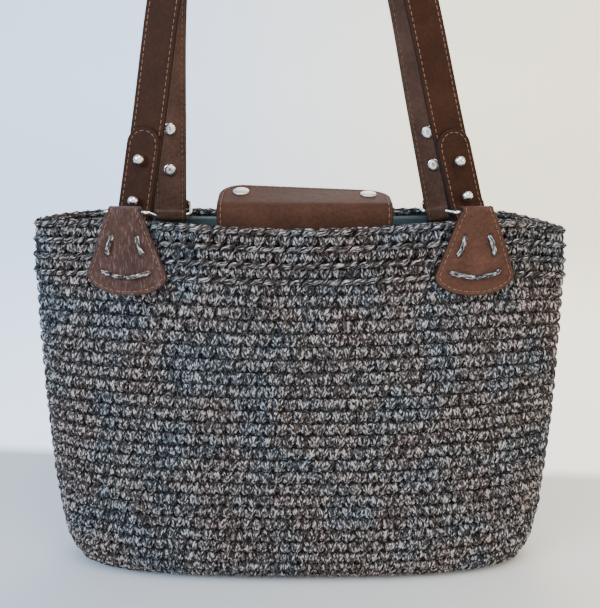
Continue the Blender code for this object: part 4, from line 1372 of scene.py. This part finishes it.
class HANDBAG_OT_rings(bpy.types.Operator):
    """Add the four wire rings."""

    bl_idname = "handbag.rings"
    bl_label = "Rings"

    def execute(self, context):
        look = context.scene.handbag_metal
        material = metal_material("Polished metal rings", look.colour, look.roughness)
        half, corner = 0.5 * STRAP_WIDTH + RING_SIDE_ROOM, RING_SIDE_ROOM
        angle = np.radians(np.concatenate([q + np.linspace(0.0, 90.0, 9)
                                           for q in (0.0, 90.0, 180.0, 270.0)]))
        sign_x = np.repeat((1.0, -1.0, -1.0, 1.0), 9)
        sign_y = np.repeat((1.0, 1.0, -1.0, -1.0), 9)
        x = sign_x * (half - corner) + corner * np.cos(angle)
        y = sign_y * (0.5 * RING_SPAN - corner) + corner * np.sin(angle)
        turn = np.arange(14) * 2.0 * np.pi / 14
        ring = np.stack([np.cos(turn), np.sin(turn)], -1) * 0.5 * RING_WIRE
        for leg in ALL_LEGS.values():
            middle = leg.tab_bar + leg.ring_way * (0.5 * RING_SPAN)
            path = (middle + leg.across * x[:, None] + leg.ring_way * y[:, None])[None]
            normal = np.broadcast_to(np.cross(leg.across, leg.ring_way), path.shape)
            points = sweep(path, normal, ring[None, None], closed=True)
            made = add_mesh("wire_ring_" + leg.name, points,
                            grid_quads(len(x), 14, True, True), material)
            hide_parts("ring_" + leg.name)
        return {"FINISHED"}


class HANDBAG_OT_straps(bpy.types.Operator):
    """Add the two straps with their folded ends and seams."""

    bl_idname = "handbag.straps"
    bl_label = "Straps"

    def execute(self, context):
        look = context.scene.handbag_leather
        thread = thread_material("Strap thread", look.thread)
        # The back strap's paler colour is painted light and haze on its inner side.
        for name, colour in (("front", look.strap), ("back", look.lit_back_strap)):
            material = leather_material(f"Strap leather {name}", colour, look.edge)
            lay = StrapLay(ALL_LEGS[name + "_left"], ALL_LEGS[name + "_right"])
            stations, half = strap_stations(lay)
            strap = leather_panel("leather_strap_" + name, stations, half, lay, STRAP_WALL,
                                  material, look.seam, 5)
            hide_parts("strap_" + name)
            line = seam_line(panel_outline(stations, half), look.seam)
            groups = [thread_arrays(line, lay, 0.5 * STRAP_WALL, look.stitch)]
            a, b, out = thread_arrays(line, lay, -0.5 * STRAP_WALL, look.stitch)
            groups.append((a, b, -out))
            thread_mesh("strap_seam_" + name, groups, thread)
        return {"FINISHED"}


class HANDBAG_OT_studs(bpy.types.Operator):
    """Add the ball studs with their slotted backs, and the flap's rivets."""

    bl_idname = "handbag.studs"
    bl_label = "Studs and rivets"

    def execute(self, context):
        look = context.scene.handbag_metal
        material = metal_material("Polished metal studs", look.colour, look.roughness)
        cap = metal_material("Polished metal rivets", look.cap, 0.42)
        for leg in ALL_LEGS.values():
            face = layer_offset() + 0.5 * STRAP_WALL
            for label, height in zip(("low", "high"), leg.stud_heights()):
                place = leg.strap_point(face, height)
                parts = [self.stud_front(place, leg.face)] + self.stud_back(place, leg)
                points, uv, quads, _ = join_parts(parts)
                made = add_mesh(f"ball_stud_{leg.name}_{label}", points, quads, material,
                                weld=True)
                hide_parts(f"stud_{leg.name}_{label}")
        along = flap_length() - RIVET_FROM_END
        for end, name in ((-1, "left"), (1, "right")):
            across, near = end * (0.5 * FLAP_WIDTH - RIVET_FROM_SIDE), 0.004
            here, right, left, far, close = flap_lay(
                across + near * np.array((0, 1, -1, 0, 0)),
                along + near * np.array((0, 0, 0, 1, -1)), np.zeros(5))
            axis = unit(np.cross(right - left, far - close))
            head, lie = 0.5 * RIVET_HEAD, 0.5 * FLAP_WALL + 0.00005
            profile = [(share * head, face * (lie + rise)) for share, rise, face in RIVET_PROFILE]
            grid = turned(soft_profile(profile, 2), 32, here, axis)
            made = add_mesh("cap_rivet_" + name, grid,
                            grid_quads(len(grid), 32, close_cols=True), cap,
                            weld=True)
            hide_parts("rivet_" + name)
        return {"FINISHED"}

    def stud_front(self, place, axis):
        """Ball on a waisted neck over a small collar: one turned profile."""
        ball = 0.5 * STUD_BALL
        angle = np.radians(np.linspace(0.0, 138.0, 14))
        centre = STUD_HEIGHT - ball
        profile = [(ball * math.sin(a), centre + ball * math.cos(a)) for a in angle]
        profile += [(0.0022, 0.0003), (0.0024, -0.0002), (0.0, -0.0003)]
        grid = turned(profile, 24, place, axis)
        return (grid, np.zeros(grid.shape[:2] + (2,)), grid_quads(len(grid), 24, close_cols=True),
                np.zeros(grid.shape[:2]).ravel())

    def stud_back(self, place, leg):
        """Domed disc behind the strap with a short slot: a square grid drawn out to a circle.

        x = u sqrt(1 - v^2/2), y = v sqrt(1 - u^2/2); its height is a dome less the slot.
        """
        through = 2.0 * layer_offset() + STRAP_WALL
        radius = 0.5 * STUD_BACK
        steps = np.sin(np.linspace(-0.5, 0.5, 33) * np.pi)
        steps = 0.45 * steps + 0.55 * np.linspace(-1.0, 1.0, 33)
        u, v = np.meshgrid(steps, steps, indexing="ij")
        x, y = u * np.sqrt(1.0 - 0.5 * v**2), v * np.sqrt(1.0 - 0.5 * u**2)
        reach = np.hypot(x, y)
        dome = STUD_BACK_WALL * (0.35 + 0.65 * (1.0 - np.clip(reach, 0, 1) ** 6) ** 0.5)
        slot = np.clip((0.30 - np.abs(y)) * 9.0, 0, 1) * np.clip((0.105 - np.abs(x)) * 14.0, 0, 1)
        height = dome - 0.0005 * slot
        axis, first = -leg.face, leg.wide
        second = np.cross(axis, first)
        seat = place + axis * through
        flat = radius * (first * x[..., None] + second * y[..., None])
        top = seat + flat + axis * height[..., None]
        low = seat + flat * 0.999 + axis * np.where(reach > 0.9999, height, -0.0003)[..., None]
        quads = grid_quads(33, 33)
        blank, mark = np.zeros((33, 33, 2)), np.zeros(33 * 33)
        return [(top, blank, quads, mark), (low, blank, quads[:, ::-1], mark)]


class HANDBAG_OT_stage(bpy.types.Operator):
    """Add the floor, the lights and the camera."""

    bl_idname = "handbag.stage"
    bl_label = "Stage"

    def execute(self, context):
        look = context.scene.handbag_stage
        scene = context.scene
        paint = Paint("Pale floor")
        x, y = paint.split(paint.coordinates("Object"))[:2]
        back = paint.above(paint.plus(y, paint.times(x, 0.10)), 0.150, 40.0)
        # Painted light: left to right, the floor and the wall go from the cool colours to the warm
        # ones, as the light from each side falls on them.
        floor = paint.mix(paint.plus(paint.times(x, 2.2), 0.5, clamp=True),
                          look.floor_left, look.floor_right)
        wall = paint.mix(paint.plus(paint.times(x, 0.9), 0.5, clamp=True),
                         look.wall_left, look.wall_right)
        paint.surface(Base_Color=paint.mix(back, floor, wall), Emission_Color=wall,
                      Emission_Strength=paint.times(back, look.wall_glow), Roughness=0.75)
        turn = np.linspace(0.0, 0.5 * np.pi, 13)
        along = np.concatenate([[-FLOOR_HALF], WALL_DISTANCE - FLOOR_BEND * (1.0 - np.sin(turn)),
                                [WALL_DISTANCE]])
        rise = np.concatenate([[0.0], FLOOR_BEND * (1.0 - np.cos(turn)), [WALL_HEIGHT]])
        across = np.array((-FLOOR_HALF, FLOOR_HALF))
        points = np.stack(np.broadcast_arrays(across, along[:, None], rise[:, None]), -1)
        mesh = bpy.data.meshes.new("floor")
        mesh.from_pydata(points.reshape(-1, 3).tolist(), [], grid_quads(15, 2).tolist())
        mesh.polygons.foreach_set("use_smooth", np.ones(14, dtype=bool))
        mesh.materials.append(paint.material)
        plane = bpy.data.objects.new("floor", mesh)
        scene.collection.objects.link(plane)
        world = bpy.data.worlds.new("Soft studio")
        scene.world = world
        world.use_nodes = True
        sky = world.node_tree.nodes["Background"]
        sky.inputs["Color"].default_value = (0.97, 0.96, 0.97, 1.0)
        sky.inputs["Strength"].default_value = 0.75
        for name, place, size, power, tint in LIGHTS:
            light = bpy.data.lights.new(name, "AREA")
            light.size = size
            light.energy = power
            light.color = tint
            lamp = bpy.data.objects.new(name, light)
            lamp.location = place
            way = np.array((0.0, 0.0, 0.2)) - np.array(place)
            lamp.rotation_euler = (math.pi - math.acos(way[2] / np.linalg.norm(way)), 0.0,
                                   math.atan2(way[1], way[0]) - 0.5 * math.pi)
            scene.collection.objects.link(lamp)
        camera = bpy.data.cameras.new("camera")
        camera.lens = look.lens
        camera.sensor_width = 36.0
        camera.sensor_fit = "HORIZONTAL"
        camera.clip_start = 0.02
        eye = bpy.data.objects.new("camera", camera)
        eye.location = (0.0, -look.distance, look.height)
        eye.rotation_euler = (look.tilt, 0.0, 0.0)
        scene.collection.objects.link(eye)
        scene.camera = eye
        return {"FINISHED"}


class HANDBAG_PT_panel(bpy.types.Panel):
    """Sidebar panel with the bag's values and its pieces."""

    bl_label = "Crocheted Handbag"
    bl_space_type = "VIEW_3D"
    bl_region_type = "UI"
    bl_category = "Handbag"

    def draw(self, context):
        layout = self.layout
        for group in GROUPS:
            box = layout.box()
            box.label(text=group[1].__doc__)
            values = getattr(context.scene, group[0])
            for key in values.bl_rna.properties.keys():
                if key not in ("rna_type", "name"):
                    box.prop(values, key)
        for operator in OPERATORS:
            layout.operator(operator.bl_idname)


GROUPS = (("handbag_yarn", HandbagYarn), ("handbag_leather", HandbagLeather),
          ("handbag_metal", HandbagMetal), ("handbag_stage", HandbagStage))
OPERATORS = (HANDBAG_OT_stage, HANDBAG_OT_yarn_shell, HANDBAG_OT_wall_stitches,
             HANDBAG_OT_top_band, HANDBAG_OT_base_stitches, HANDBAG_OT_lining, HANDBAG_OT_flap,
             HANDBAG_OT_tabs, HANDBAG_OT_rings, HANDBAG_OT_straps, HANDBAG_OT_studs)


def register():
    """Register the values, the operators and the panel."""
    for name, group in GROUPS:
        bpy.utils.register_class(group)
        setattr(bpy.types.Scene, name, bpy.props.PointerProperty(type=group))
    for operator in OPERATORS:
        bpy.utils.register_class(operator)
    bpy.utils.register_class(HANDBAG_PT_panel)


def unregister():
    """Take the panel, the operators and the values out again."""
    bpy.utils.unregister_class(HANDBAG_PT_panel)
    for operator in reversed(OPERATORS):
        bpy.utils.unregister_class(operator)
    for name, group in reversed(GROUPS):
        delattr(bpy.types.Scene, name)
        bpy.utils.unregister_class(group)


def main():
    """Make the whole bag."""
    register()
    bpy.ops.handbag.stage()
    bpy.ops.handbag.yarn_shell()
    bpy.ops.handbag.wall_stitches()
    bpy.ops.handbag.top_band()
    bpy.ops.handbag.base_stitches()
    bpy.ops.handbag.lining()
    bpy.ops.handbag.flap()
    bpy.ops.handbag.tabs()
    bpy.ops.handbag.rings()
    bpy.ops.handbag.straps()
    bpy.ops.handbag.studs()


if __name__ == "__main__":
    main()
